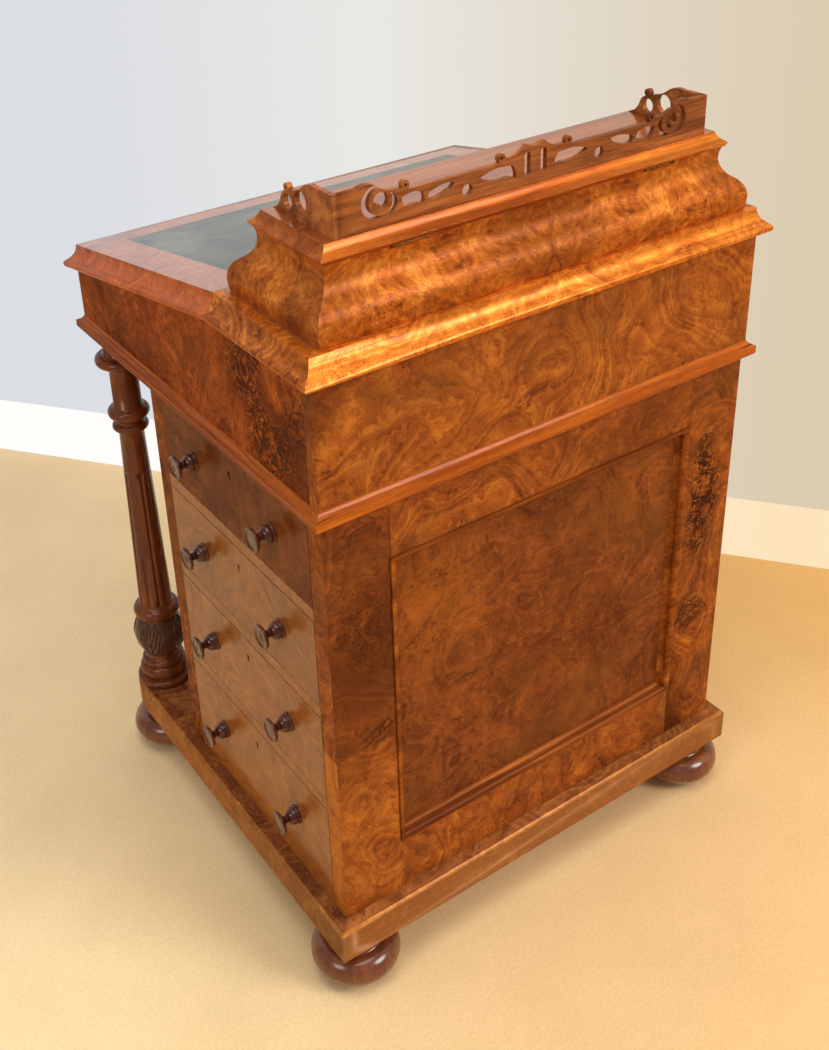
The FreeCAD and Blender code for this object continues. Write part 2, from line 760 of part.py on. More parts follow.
def sheared(points, y_zero):
    """Points of a section in Y and Z, lifted or dropped to follow the slope from y_zero."""
    return each_point(points, lambda p: (p[0], p[1] + slope_rise * (p[0] - y_zero)))


def writing_slope():
    """A board with a moulded strip on its front and side edges, all following the slope."""
    inner = box_half_width - edge_strip
    y2 = y_hinge - joint_gap
    y_inner = y_box_front + edge_strip
    z1, z2 = slope_z(y_inner), slope_z(y2)
    board = prism([(y2, z2), (y_inner, z1), (y_inner, z1 + top_thickness), (y2, z2 + top_thickness)],
                  "yz", -inner, 2 * inner)
    section = top_edge_profile()
    # side strips: the section drawn upright beyond the front end, tipped square to the slope and pushed up it
    angle = math.atan(slope_rise)
    start_y = y_box_front - top_nose - top_thickness
    start_z = slope_z(start_y)
    across = [(-edge_strip, 0)] + section + [(-edge_strip, top_thickness)]
    flat = math.cos(angle)
    side_points = each_point(across, lambda p: (box_half_width + p[0], p[1] * flat))
    right = prism(side_points, "xz", 0, y2 - start_y + 2 * top_thickness)
    right.rotate(Vector(0, 0, 0), Vector(1, 0, 0), math.degrees(angle))
    right.translate(Vector(0, start_y, start_z))
    low = z_under_front - top_thickness
    high = z_top + 2 * top_thickness
    right = right.common(box(0, far_past + box_half_width, start_y - far_past, y2, low, high))
    left = right.mirror(Vector(0, 0, 0), Vector(1, 0, 0))
    front_points = each_point(across, lambda p: (y_box_front - p[0], z_under_front + p[1]))
    reach = box_half_width + far_past
    front = prism(sheared(front_points, y_box_front), "yz", -reach, 2 * reach)
    strips = []
    for strip, name in ((right, "right"), (left, "left"), (front, "front")):
        strips += mitred_sides(strip, box_half_width, y_box_front, y2 + far_past, low, high, edge_strip,
                               (name,))
    return board, strips


def leather():
    """The lining, let into the slope by its own thickness."""
    half = box_half_width - leather_side_margin
    y1 = y_box_front + leather_front_margin
    y2 = y_hinge - leather_back_margin
    top = top_thickness
    return prism([(y1, slope_z(y1) + top - leather_depth), (y2, slope_z(y2) + top - leather_depth),
                  (y2, slope_z(y2) + top), (y1, slope_z(y1) + top)], "yz", -half, 2 * half)


parts["box_sides"] = box_sides()
parts["box_front"] = box_front()
parts["box_back"] = box(-box_half_width, box_half_width, y_box_back - box_board, y_box_back, z_box,
                        z_under_top)
parts["box_bottom"] = box(-box_half_width + box_board, box_half_width - box_board, y_box_front + box_board,
                          y_box_back - box_board, z_box, z_box + box_floor)
parts["waist_moulding"] = waist_moulding()


# ---- case of small drawers and pigeonholes ----

def small_casing():
    inner = box_half_width - box_board
    y2 = y_box_back - box_board
    y1 = y2 - casing_depth
    z1 = z_box + box_floor
    z_shelf = z1 + casing_bay_height
    half = casing_board / 2
    boards = [box(-inner, inner, y1, y2, z_shelf, z_shelf + casing_board),
              box(-half, half, y1, y2, z1, z_shelf)]
    for x in (-inner / 3, inner / 3):
        boards.append(box(x - half, x + half, y1, y2, z_shelf + casing_board, z_under_top))
    return group(boards)


def small_drawer(side):
    """A small drawer with its knob; side is +1 for the right bay and -1 for the left."""
    inner = box_half_width - box_board
    gap = running_gap
    near = casing_board / 2 + gap
    x1, x2 = (near, inner - gap) if side > 0 else (-inner + gap, -near)
    z1 = z_box + box_floor + gap
    z2 = z_box + box_floor + casing_bay_height - gap
    y1 = y_box_back - box_board - casing_depth
    y2 = y_box_back - box_board - small_travel_room
    middle_x = (x1 + x2) / 2
    middle_z = (z1 + z2) / 2
    front = box(x1, x2, y1, y1 + small_front, z1, z2)
    front = front.cut(Part.makeCylinder(small_spigot_radius, small_spigot, Vector(middle_x, y1, middle_z),
                                        Vector(0, 1, 0)))
    top = z2 - small_side_drop
    wall = small_side
    pieces = [front,
              box(x1, x1 + wall, y1 + small_front, y2, z1, top),
              box(x2 - wall, x2, y1 + small_front, y2, z1, top),
              box(x1 + wall, x2 - wall, y2 - wall, y2, z1 + wall, top),
              box(x1 + wall, x2 - wall, y1 + small_front, y2, z1, z1 + wall)]
    pull = knob(small_knob_radius, small_knob_length, 0.6 * small_knob_radius, 0.34 * small_knob_radius,
                small_spigot_radius, small_spigot)
    pull.rotate(Vector(0, 0, 0), Vector(1, 0, 0), 90)
    pull.translate(Vector(middle_x, y1, middle_z))
    return group(pieces + [pull])


parts["small_drawer_casing"] = small_casing()
parts["small_drawer_right"] = small_drawer(1)
parts["small_drawer_left"] = small_drawer(-1)


# ---- stationery compartment ----

def ogee_profile():
    """From the foot of a wall: a long swell, a round shoulder, and a cove that flares under the lid."""
    bulge, low = ogee_bulge, ogee_bulge_height
    neck, high = ogee_neck_inset, ogee_neck_height
    shoulder = ogee_shoulder_radius
    # the shoulder and the cove touch, so their centres lie the sum of their radii apart
    both = ((bulge + neck) ** 2 + (high - low) ** 2) / (2 * (bulge + neck))
    cove = both - shoulder
    shoulder_x = bulge - shoulder
    cove_x = cove - neck
    turn = math.atan2(high - low, cove_x - shoulder_x)
    base = (bulge ** 2 + low ** 2) / (2 * bulge)
    half = math.asin(low / base) / 2
    swell_middle = (bulge - base + base * math.cos(half), low - base * math.sin(half))
    meet = (shoulder_x + shoulder * math.cos(turn), low + shoulder * math.sin(turn))
    shoulder_middle = (shoulder_x + shoulder * math.cos(turn / 2), low + shoulder * math.sin(turn / 2))
    flare = math.asin((wall_height - high) / cove)
    cove_middle_turn = (turn - flare) / 2
    cove_middle = (cove_x - cove * math.cos(cove_middle_turn), high - cove * math.sin(cove_middle_turn))
    cove_end = (cove_x - cove * math.cos(flare), wall_height)
    return [(0, 0), (swell_middle, (bulge, low)), (shoulder_middle, meet), (cove_middle, cove_end)]


def stationery_walls():
    block = moulded_block(ogee_profile(), stationery_half_width, y_stationery_front, y_stationery_back, z_top)
    inset = ogee_neck_inset + wall_neck_thickness
    low, high = z_top - past, z_under_lid + past
    inner = stationery_half_width - inset
    ring = block.cut(box(-inner, inner, y_stationery_front + inset, y_stationery_back - inset, low, high))
    return mitred_sides(ring, stationery_half_width, y_stationery_front, y_stationery_back, low, high, inset,
                        ("front", "back", "left", "right"))


def stationery_lid():
    flare_inset = -ogee_profile()[-1][1][0]
    nose = -lid_nose_inset
    profile = [(-flare_inset, 0), ((nose - 0.8, 0.45 * lid_nose_height), (nose, lid_nose_height)),
               (nose - 1.4, lid_nose_height + 1.2),
               ((nose - 6.0, 0.62 * lid_thickness), (-lid_arris_inset, lid_thickness))]
    return moulded_block(profile, stationery_half_width, y_stationery_front, y_stationery_back, z_under_lid)


def stationery_dividers():
    inset = ogee_neck_inset + wall_neck_thickness
    y1 = y_stationery_front + inset
    y2 = y_stationery_back - inset
    inner = stationery_half_width - inset
    half = divider_board / 2
    x = divider_spacing / 2
    z2 = z_top + divider_height
    boards = [box(side * x - half, side * x + half, y1, y2, z_top, z2) for side in (-1, 1)]
    y_long = y2 - divider_back_gap
    boards.append(box(-x + half, x - half, y_long - half, y_long + half, z_top, z2))
    for side in (-1, 1):
        near, far = sorted((side * (x + half), side * inner))
        boards.append(box(near, far, y_long - half, y_long + half, z_top, z2))
    return group(boards)


# ---- pierced gallery ----

def curl(x, z, radius):
    """A small scroll that stands on the rail: a disc with a pinhole eye, and the eye to cut from it."""
    disc = prism([(x - radius, z), ((x, z + radius), (x + radius, z)), ((x, z - radius), (x - radius, z))],
                 "xz", 0, gallery_thickness)
    eye = Part.makeCylinder(0.36 * radius, gallery_thickness, Vector(x, 0, z), Vector(0, 1, 0))
    return disc, eye


def round_hole(x, z, radius):
    return Part.makeCylinder(radius, gallery_thickness, Vector(x, 0, z), Vector(0, 1, 0))


def back_piercings(fit):
    """The piercings of one half, from the end toward the middle; fit stretches the pattern to the board."""
    # the scroll keeps its form, and only its place follows the board
    scroll = fit * gallery_scroll

    def leaf(points):
        return prism(each_point(points, lambda p: (fit * p[0], p[1])), "xz", 0, gallery_thickness)

    ring = round_hole(scroll, 21.5, 12.0)
    outer_scroll = round_hole(scroll + 5.0, 22.5, 14.5).cut(ring)
    eye = round_hole(scroll, 22.5, 7.6).cut(round_hole(scroll + 3.5, 17.5, 3.2))
    inner_scroll = round_hole(scroll - 7.0, 18.5, 10.0).cut(ring)
    near_leaf = leaf([(145.5, 20.0), ((136, 22.6), (125.5, 21.3)), ((121.8, 16.0), (122.5, 10.5)),
                      ((131, 11.6), (139.5, 9.5)), ((143.5, 14.0), (145.5, 20.0))])
    far_leaf = leaf([(117.5, 17.5), ((106, 21.6), (90, 21.4)), ((93, 17.0), (98, 15.3)),
                     ((107, 12.0), (115.5, 11.2)), ((118, 14.0), (117.5, 17.5))])
    inner_leaf = leaf([(62.5, 17.8), ((50, 21.9), (36, 22.4)), (27, 22.0), ((22.8, 16.0), (22.2, 8.6)),
                       ((29, 11.4), (37, 11.0)), ((50, 12.6), (62.5, 17.8))])
    loop = leaf([(5.8, 11.0), ((9.3, 7.6), (12.8, 11.0)), (12.8, 26.5), ((9.3, 30.0), (5.8, 26.5))])
    drop = round_hole(fit * 76.2, 10.5, 5.6)
    return [outer_scroll, eye, inner_scroll, near_leaf, far_leaf, drop, inner_leaf, loop]


def gallery_back():
    half = stationery_half_width - lid_arris_inset - gallery_edge_inset - gallery_thickness
    fit = half / gallery_pattern_half
    rail = gallery_rail_top
    high = gallery_height
    drawn = [(190.5, high), ((181, high + 1.8), (172, high - 0.6)), ((160, high - 7.4), (147, high - 9.0)),
             (136, rail), (45, rail), (32, rail + 3.4), ((19, rail + 5.0), (10.5, rail + 10.8)),
             (0, rail + 8.2)]
    right = [(half, 0), (half, high)] + each_point(drawn, lambda p: (fit * p[0], p[1]))
    left = mirrored(right)[1:]
    board = prism(right + left, "xz", 0, gallery_thickness)
    for x in (141.0, 38.5):
        disc, eye = curl(fit * x, rail + 4.6, 4.0)
        for solid in (disc, disc.mirror(Vector(0, 0, 0), Vector(1, 0, 0))):
            board = board.fuse(solid)
        for solid in (eye, eye.mirror(Vector(0, 0, 0), Vector(1, 0, 0))):
            board = board.cut(solid)
    for pierced in back_piercings(fit):
        board = board.cut(pierced).cut(pierced.mirror(Vector(0, 0, 0), Vector(1, 0, 0)))
    board.translate(Vector(0, y_gallery_back - gallery_thickness, z_lid_top))
    return board


def gallery_side(side):
    """A shaped end, drawn with its length along X from the back face, then turned to run forward."""
    length = stationery_depth - 2 * lid_arris_inset - gallery_back_inset
    high = gallery_height
    points = [(0, 0), (0, high), (18, high), (27, high - 0.6), ((36, high - 0.4), (46, high - 4.6)),
              ((56, high - 10.6), (66, high - 13.6)), (76, high - 16.6),
              ((81, high - 19.6), (84, high - 24.4)), ((89, high - 32.4), (length, 0))]
    board = prism(points, "xz", 0, gallery_thickness)
    disc, eye = curl(74.0, high - 13.4, 4.0)
    board = board.fuse(disc).cut(eye).cut(round_hole(72.5, 12.0, 7.0)).cut(round_hole(51.0, 18.5, 9.2))
    board.rotate(Vector(0, 0, 0), Vector(0, 0, 1), -90)
    x = stationery_half_width - lid_arris_inset - gallery_edge_inset
    board.translate(Vector(x - gallery_thickness if side > 0 else -x, y_gallery_back, z_lid_top))
    return board


y_gallery_back = y_stationery_back - lid_arris_inset - gallery_back_inset
parts["gallery"] = group([gallery_back(), gallery_side(1), gallery_side(-1)])


# ---- butt hinges ----

def knuckles(x_middle, length, radius, y, z, moving):
    """The barrels of one leaf: five along the hinge, the second and fourth on the moving leaf."""
    pitch = length / 5
    which = (1, 3) if moving else (0, 2, 4)
    barrels = []
    for index in which:
        start = x_middle - length / 2 + index * pitch + running_gap / 2
        barrel = Part.makeCylinder(radius, pitch - running_gap, Vector(start, y, z), Vector(1, 0, 0))
        bore = Part.makeCylinder(radius * pin_share + (running_gap / 3 if moving else 0), pitch,
                                 Vector(start, y, z), Vector(1, 0, 0))
        barrels.append(barrel.cut(bore))
    return barrels


def hinge_pin(x_middle, length, radius, y, z):
    return Part.makeCylinder(radius * pin_share, length, Vector(x_middle - length / 2, y, z), Vector(1, 0, 0))


def hinge_side(leaf, x_middle, length, radius, y, z, moving):
    """One leaf with its barrels, and the room cleared in the leaf for the other leaf's barrels."""
    start = x_middle - length / 2
    reach = 2 * radius
    room = Part.makeCylinder(radius + running_gap, length, Vector(start, y, z), Vector(1, 0, 0))
    solid = leaf
    own = knuckles(x_middle, length, radius, y, z, moving)
    pitch = length / 5
    other = (0, 2, 4) if moving else (1, 3)
    for index in other:
        x1 = start + index * pitch - running_gap / 2
        x2 = start + (index + 1) * pitch + running_gap / 2
        solid = solid.cut(room.common(box(x1, x2, y - reach, y + reach, z - reach, z + reach)))
    bore = Part.makeCylinder(radius * pin_share + (running_gap / 3 if moving else 0), length,
                             Vector(start, y, z), Vector(1, 0, 0))
    for barrel in own:
        solid = solid.fuse(barrel)
    return solid.cut(bore).removeSplitter()


def slope_hinges():
    """Fixed and moving halves; the leaves stand in the joint and the barrels lie in the top surface."""
    fixed, moving, rooms = [], [], []
    sheet = slope_hinge_sheet
    for side in (-1, 1):
        x = side * slope_hinge_spacing / 2
        half = slope_hinge_length / 2
        z1 = z_top - slope_hinge_leaf
        leaf_back = box(x - half, x + half, y_hinge + leaf_gap, y_hinge + joint_gap + sheet, z1, z_top)
        leaf_front = box(x - half, x + half, y_hinge - joint_gap - sheet, y_hinge - leaf_gap, z1, z_top)
        args = (x, slope_hinge_length, slope_knuckle_radius, y_hinge, z_top)
        fixed.append(hinge_side(leaf_back, *args, False))
        fixed.append(hinge_pin(*args))
        moving.append(hinge_side(leaf_front, *args, True))
        barrel_room = Part.makeCylinder(slope_knuckle_radius + running_gap, 2 * (half + running_gap),
                                        Vector(x - half - running_gap, y_hinge, z_top), Vector(1, 0, 0))
        deep = joint_gap + sheet
        leaf_room = box(x - half, x + half, y_hinge - deep, y_hinge + deep, z1, z_top)
        rooms.append(barrel_room.fuse(leaf_room))
    return fixed, moving, rooms


def lid_hinges():
    """Fixed and moving halves; the leaves lie between the back wall and the lid."""
    fixed, moving, rooms = [], [], []
    sheet = lid_hinge_sheet
    wall_face = y_stationery_back + ogee_profile()[-1][1][0]
    y = wall_face + lid_knuckle_radius + 2 * leaf_gap
    z = z_under_lid
    for side in (-1, 1):
        x = side * lid_hinge_spacing / 2
        half = lid_hinge_length / 2
        y1 = y - lid_hinge_leaf
        leaf_low = box(x - half, x + half, y1, y, z - sheet, z - leaf_gap / 2)
        leaf_high = box(x - half, x + half, y1, y, z + leaf_gap / 2, z + sheet)
        args = (x, lid_hinge_length, lid_knuckle_radius, y, z)
        fixed.append(hinge_side(leaf_low, *args, False))
        fixed.append(hinge_pin(*args))
        moving.append(hinge_side(leaf_high, *args, True))
        barrel_room = Part.makeCylinder(lid_knuckle_radius + running_gap, 2 * (half + running_gap),
                                        Vector(x - half - running_gap, y, z), Vector(1, 0, 0))
        leaf_room = box(x - half, x + half, y1, y, z - sheet, z + sheet)
        rooms.append(barrel_room.fuse(leaf_room))
    return fixed, moving, rooms


slope_fixed, slope_moving, slope_rooms = slope_hinges()
lid_fixed, lid_moving, lid_rooms = lid_hinges()

top_board, cornice_lengths = fixed_top()
slope_board, slope_strips = writing_slope()
lining = leather()
slope_board = slope_board.cut(lining)
for room in slope_rooms:
    top_board = top_board.cut(room)
    slope_board = slope_board.cut(room)
walls = stationery_walls()
lid = stationery_lid()
for room in lid_rooms:
    walls[1] = walls[1].cut(room)
    lid = lid.cut(room)

parts["top_board"] = top_board
parts["cornice"] = group(cornice_lengths)
parts["writing_slope"] = group([slope_board] + slope_strips)
parts["writing_leather"] = lining
parts["stationery_walls"] = group(walls)
parts["stationery_lid"] = lid
parts["stationery_dividers"] = stationery_dividers()
parts["hinge_leaves_fixed"] = group(slope_fixed + lid_fixed)
parts["slope_hinge_leaves"] = group(slope_moving)
parts["lid_hinge_leaves"] = group(lid_moving)

os.makedirs("parts", exist_ok=True)
for name, shape in parts.items():
    shape.exportStep("parts/" + name + ".step")
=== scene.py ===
import json
import math
import random

import bmesh
import bpy
import numpy as np
from mathutils import Matrix, Vector


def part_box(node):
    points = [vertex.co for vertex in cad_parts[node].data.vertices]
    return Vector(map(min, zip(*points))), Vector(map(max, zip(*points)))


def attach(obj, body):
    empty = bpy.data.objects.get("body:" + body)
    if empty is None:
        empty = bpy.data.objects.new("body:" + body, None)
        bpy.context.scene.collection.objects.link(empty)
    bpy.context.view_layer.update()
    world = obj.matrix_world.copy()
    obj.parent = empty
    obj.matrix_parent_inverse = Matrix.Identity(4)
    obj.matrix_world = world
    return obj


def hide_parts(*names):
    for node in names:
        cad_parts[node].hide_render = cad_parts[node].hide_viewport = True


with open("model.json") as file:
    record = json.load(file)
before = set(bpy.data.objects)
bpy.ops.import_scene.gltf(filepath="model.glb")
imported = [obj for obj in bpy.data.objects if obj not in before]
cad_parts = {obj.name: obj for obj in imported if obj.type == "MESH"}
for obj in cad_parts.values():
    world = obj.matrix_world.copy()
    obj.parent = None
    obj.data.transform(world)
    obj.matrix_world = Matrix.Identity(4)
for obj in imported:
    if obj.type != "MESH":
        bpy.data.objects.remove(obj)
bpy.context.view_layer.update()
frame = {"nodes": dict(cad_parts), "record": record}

# A Victorian davenport desk: burr walnut veneer, turned and carved pillars, a leather-lined slope.
nodes = frame["nodes"]
bodies = frame["record"]["behaviour"]["bodies"]
bodyOf = {member: body for body, members in bodies.items() for member in members}


def linked(name, data):
    holder = bpy.data.objects.new(name, data)
    bpy.context.scene.collection.objects.link(holder)
    return holder


# camera

cameraView = dict(
    place=(0.73599, 1.06464, 1.24547), azimuth=146.939, elevation=27.647, roll=-2.4376,
    lens=45.35, sensor=36, nearest=0.01, shift=(0.0386, -0.1547),
)


def placeCamera(view):
    azimuth, elevation, roll = (math.radians(view[angle]) for angle in ("azimuth", "elevation", "roll"))
    across = math.cos(elevation)
    back = Vector((math.sin(azimuth) * across, -math.cos(azimuth) * across, math.sin(elevation)))
    level = (-back).cross(Vector((0, 0, 1))).normalized()
    above = level.cross(-back)
    right = level * math.cos(roll) + above * math.sin(roll)
    up = above * math.cos(roll) - level * math.sin(roll)
    camera = bpy.data.cameras.new("camera")
    camera.lens = view["lens"]
    camera.sensor_width = view["sensor"]
    camera.shift_x, camera.shift_y = view["shift"]
    camera.clip_start = view["nearest"]
    holder = linked("camera", camera)
    matrix = Matrix((right, up, back)).transposed().to_4x4()
    matrix.translation = view["place"]
    holder.matrix_world = matrix
    bpy.context.scene.camera = holder


placeCamera(cameraView)
print("camera placed")


# wiring of shader and geometry trees

def feed(tree, sockets, values):
    # each value is another node's output to link, or a constant
    for name, value in values.items():
        if isinstance(value, bpy.types.NodeSocket):
            tree.links.new(value, sockets[name])
        else:
            sockets[name].default_value = value


def addNode(tree, kind, inputs=None, **settings):
    node = tree.nodes.new(kind)
    for name, value in settings.items():
        setattr(node, name, value)
    feed(tree, node.inputs, inputs or {})
    return node


def calc(tree, operation, *values):
    return addNode(tree, "ShaderNodeMath", dict(enumerate(values)), operation=operation).outputs[0]


def product(tree, first, second):
    return calc(tree, "MULTIPLY", first, second)


def timesPlus(tree, value, factor, added):
    return calc(tree, "MULTIPLY_ADD", value, factor, added)


def vectorCalc(tree, operation, first, second=(0, 0, 0)):
    return addNode(tree, "ShaderNodeVectorMath", {0: first, 1: second}, operation=operation).outputs[0]


def resized(tree, vector, factor):
    return addNode(tree, "ShaderNodeVectorMath", {0: vector, "Scale": factor}, operation="SCALE").outputs[0]


def opaque(colour):
    return colour if isinstance(colour, bpy.types.NodeSocket) else (*colour, 1.0)


def blendColour(tree, factor, first, second, blend="MIX"):
    # sockets 0, 6 and 7 of a mix node are its factor and two colours, and output 2 is its colour
    first, second = (opaque(value) for value in (first, second))
    node = addNode(tree, "ShaderNodeMix", {0: factor, 6: first, 7: second}, data_type="RGBA", blend_type=blend)
    return node.outputs[2]


def spread(tree, value, low, high, toLow=0.0, toHigh=1.0):
    limits = {"Value": value, "From Min": low, "From Max": high, "To Min": toLow, "To Max": toHigh}
    return addNode(tree, "ShaderNodeMapRange", limits, interpolation_type="SMOOTHSTEP").outputs[0]


def ramp(tree, factor, stops):
    node = addNode(tree, "ShaderNodeValToRGB", {"Fac": factor})
    band = node.color_ramp
    while len(band.elements) < len(stops):
        band.elements.new(0.5)
    for element, (place, *colour) in zip(band.elements, stops):
        element.position = place
        element.color = opaque(colour)
    return node.outputs["Color"]


def cloudy(tree, vector, scale, detail=3.0, roughness=0.5, distortion=0.0, output="Fac"):
    noise = {"Vector": vector, "Scale": scale, "Detail": detail, "Roughness": roughness, "Distortion": distortion}
    return addNode(tree, "ShaderNodeTexNoise", noise).outputs[output]


def bumped(tree, height, distance, strength):
    return addNode(tree, "ShaderNodeBump", {"Height": height, "Distance": distance, "Strength": strength}).outputs[0]


def driftOf(tree, spot, scale):
    return vectorCalc(tree, "SUBTRACT", cloudy(tree, spot, scale, 2.0, output="Color"), (0.5, 0.5, 0.5))


def rippled(tree, along, detail=2.0, roughness=0.5):
    # noise in one dimension, so that it draws the level lines of whatever it runs along
    noise = {"W": along, "Scale": 1.0, "Detail": detail, "Roughness": roughness}
    return addNode(tree, "ShaderNodeTexNoise", noise, noise_dimensions="1D").outputs["Fac"]


def pushed(tree, spot, scale, reach, amount):
    drift = resized(tree, driftOf(tree, spot, scale), product(tree, amount, reach))
    return vectorCalc(tree, "ADD", spot, drift)


def addSockets(group, way, kinds):
    return [group.interface.new_socket(label, in_out=way, socket_type="NodeSocket" + kind)
            for label, kind in kinds.items()]


def newGroup(name, vectors, numbers, outputs):
    # numbers are inputs with a value to start from
    group = bpy.data.node_groups.new(name, "ShaderNodeTree")
    addSockets(group, "INPUT", dict.fromkeys(vectors, "Vector"))
    for socket, value in zip(addSockets(group, "INPUT", dict.fromkeys(numbers, "Float")), numbers.values()):
        socket.default_value = value
    addSockets(group, "OUTPUT", outputs)
    return group, group.nodes.new("NodeGroupInput").outputs, group.nodes.new("NodeGroupOutput").inputs


# shared effects

def makeBurrFigure():
    effects = ("Mottle", "Curl", "Flame", "Fibre", "Stain", "Patch", "Vein", "Eye")
    tree, given, out = newGroup("burr figure", ["Spot"], {"Swirl": 1.0}, dict.fromkeys(effects, "Float"))
    bent = pushed(tree, given["Spot"], 8.0, 0.07, given["Swirl"])
    curled = pushed(tree, bent, 45.0, 0.018, given["Swirl"])
    curl = cloudy(tree, curled, 135.0, 4.0, 0.66)
    # flame and fibre follow the level lines of one slow field, as a figure follows the growth
    field = cloudy(tree, bent, 6.5, 1.0, 0.5)
    flame = timesPlus(tree, field, 42.0, product(tree, curl, 1.6))
    fibre = timesPlus(tree, field, 420.0, product(tree, curl, 9.0))
    elsewhere = vectorCalc(tree, "ADD", bent, (7.0, 3.0, 5.0))
    # veins run along one level of the noise, and eyes are the middles of small cells, both in places only
    ridge = calc(tree, "ABSOLUTE", calc(tree, "SUBTRACT", cloudy(tree, curled, 7.0, 3.0, 0.5), 0.5))
    veined = spread(tree, cloudy(tree, bent, 5.0, 2.0), 0.52, 0.64)
    cell = addNode(tree, "ShaderNodeTexVoronoi", {"Vector": curled, "Scale": 150.0, "Randomness": 1.0},
                   feature="F1").outputs["Distance"]
    cluster = spread(tree, cloudy(tree, bent, 17.0, 2.0), 0.52, 0.66)
    feed(tree, out, {
        "Mottle": cloudy(tree, curled, 32.0, 5.0, 0.62),
        "Curl": curl,
        "Flame": rippled(tree, flame, 3.0, 0.6),
        "Fibre": rippled(tree, fibre, 2.0, 0.6),
        "Stain": cloudy(tree, bent, 5.0, 4.0, 0.55),
        "Patch": cloudy(tree, elsewhere, 11.0, 3.0, 0.55),
        "Vein": product(tree, spread(tree, ridge, 0.0, 0.014, 1.0, 0.0), veined),
        "Eye": product(tree, spread(tree, cell, 0.08, 0.3, 1.0, 0.0), cluster),
    })
    return tree


def makeKnot():
    # a burl round one centre: a dark heart, rings that wander round it, and a soft uneven border
    tree, given, out = newGroup("knot", ["Place", "Centre", "Size"], {}, {"Mask": "Float", "Ring": "Float"})
    ragged = pushed(tree, given["Place"], 26.0, 0.035, 1.0)
    offset = vectorCalc(tree, "DIVIDE", vectorCalc(tree, "SUBTRACT", ragged, given["Centre"]), given["Size"])
    far = addNode(tree, "ShaderNodeVectorMath", {0: offset}, operation="LENGTH").outputs["Value"]
    wander = cloudy(tree, ragged, 46.0, 3.0, 0.5)
    wave = timesPlus(tree, wander, 11.0, product(tree, far, 4.0))
    feed(tree, out, {"Mask": spread(tree, far, 0.35, 1.15, 1.0, 0.0), "Ring": rippled(tree, wave, 1.0, 0.5)})
    return tree


def makeStraightGrain():
    tree, given, out = newGroup("straight grain", ["Spot"], {"Fineness": 1.0},
                                 dict.fromkeys(("Band", "Streak", "Pore"), "Float"))
    drift = vectorCalc(tree, "MULTIPLY", driftOf(tree, given["Spot"], 3.5), (0.0, 0.02, 0.02))
    spot = resized(tree, vectorCalc(tree, "ADD", given["Spot"], drift), given["Fineness"])
    # each is drawn out along the grain, which is the first axis
    band, streak, pore = (vectorCalc(tree, "MULTIPLY", spot, (along, across, across))
                          for along, across in ((3.0, 42.0), (11.0, 270.0), (60.0, 1400.0)))
    feed(tree, out, {
        "Band": cloudy(tree, band, 1.0, 3.0, 0.55, 0.3),
        "Streak": cloudy(tree, streak, 1.0, 3.0, 0.65),
        "Pore": spread(tree, cloudy(tree, pore, 1.0, 1.0), 0.58, 0.7),
    })
    return tree


def makePolish():
    # French polish: faint smears in the gloss, slight ripples, and grain telegraphing through
    tree, given, out = newGroup("french polish", ["Spot"], {"Grain": 0.5, "Dullness": 0.3, "Relief": 1.0},
                                 {"Roughness": "Float", "Normal": "Vector"})
    smear = cloudy(tree, given["Spot"], 14.0, 3.0, 0.6)
    varied = timesPlus(tree, calc(tree, "SUBTRACT", smear, 0.5), 0.22, given["Dullness"])
    ripple = cloudy(tree, given["Spot"], 34.0, 2.0, 0.5)
    height = timesPlus(tree, given["Grain"], 0.16, product(tree, ripple, 0.9))
    feed(tree, out, {
        "Roughness": calc(tree, "MAXIMUM", varied, 0.05),
        "Normal": bumped(tree, height, 0.0005, product(tree, given["Relief"], 0.35)),
    })
    return tree


burrFigure = makeBurrFigure()
knot = makeKnot()
straightGrain = makeStraightGrain()
polishFilm = makePolish()


# finishes

def newMaterial(name):
    material = bpy.data.materials.new(name)
    material.use_nodes = True
    tree = material.node_tree
    shader = next(node for node in tree.nodes if node.type == "BSDF_PRINCIPLED")
    return material, tree, shader


def readAttribute(tree, name, output="Fac"):
    return addNode(tree, "ShaderNodeAttribute", attribute_name=name, attribute_type="GEOMETRY").outputs[output]


def objectPlace(tree):
    return addNode(tree, "ShaderNodeTexCoord").outputs["Object"]


def useGroup(tree, group, inputs):
    return addNode(tree, "ShaderNodeGroup", inputs, node_tree=group).outputs


def polished(tree, shader, colour, spot, grain, finish):
    # arrises are rubbed through the polish to paler or darker wood; the pale gold arrises of the mouldings and the
    # cornice are a painted highlight, and the dark arrises of the drawer fronts are painted shade of the gaps between
    # them
    rubbed = spread(tree, cloudy(tree, spot, 130.0, 3.0, 0.6), 0.4, 0.62)
    worn = product(tree, readAttribute(tree, "wear"), product(tree, rubbed, finish["wear"]))
    colour = blendColour(tree, worn, colour, finish["arrisWearAndLightColour"])
    film = useGroup(tree, polishFilm, {
        "Spot": spot, "Grain": grain, "Dullness": finish["dullness"], "Relief": finish["relief"]})
    coat = finish["coat"]
    if "edgeCoat" in finish:
        # the flat of the top is polished, its moulded edge is not
        coat = timesPlus(tree, readAttribute(tree, "flat"), coat - finish["edgeCoat"], finish["edgeCoat"])
    feed(tree, shader.inputs, {
        "Base Color": colour, "Roughness": film["Roughness"], "Normal": film["Normal"],
        "Specular IOR Level": finish["specular"], "IOR": 1.5,
        "Coat Weight": coat, "Coat Roughness": finish["coatRoughness"], "Coat IOR": finish.get("coatIor", 1.5),
        # a little metal gives the amber gleam of figured wood under polish
        "Metallic": finish.get("gleam", 0.0),
    })


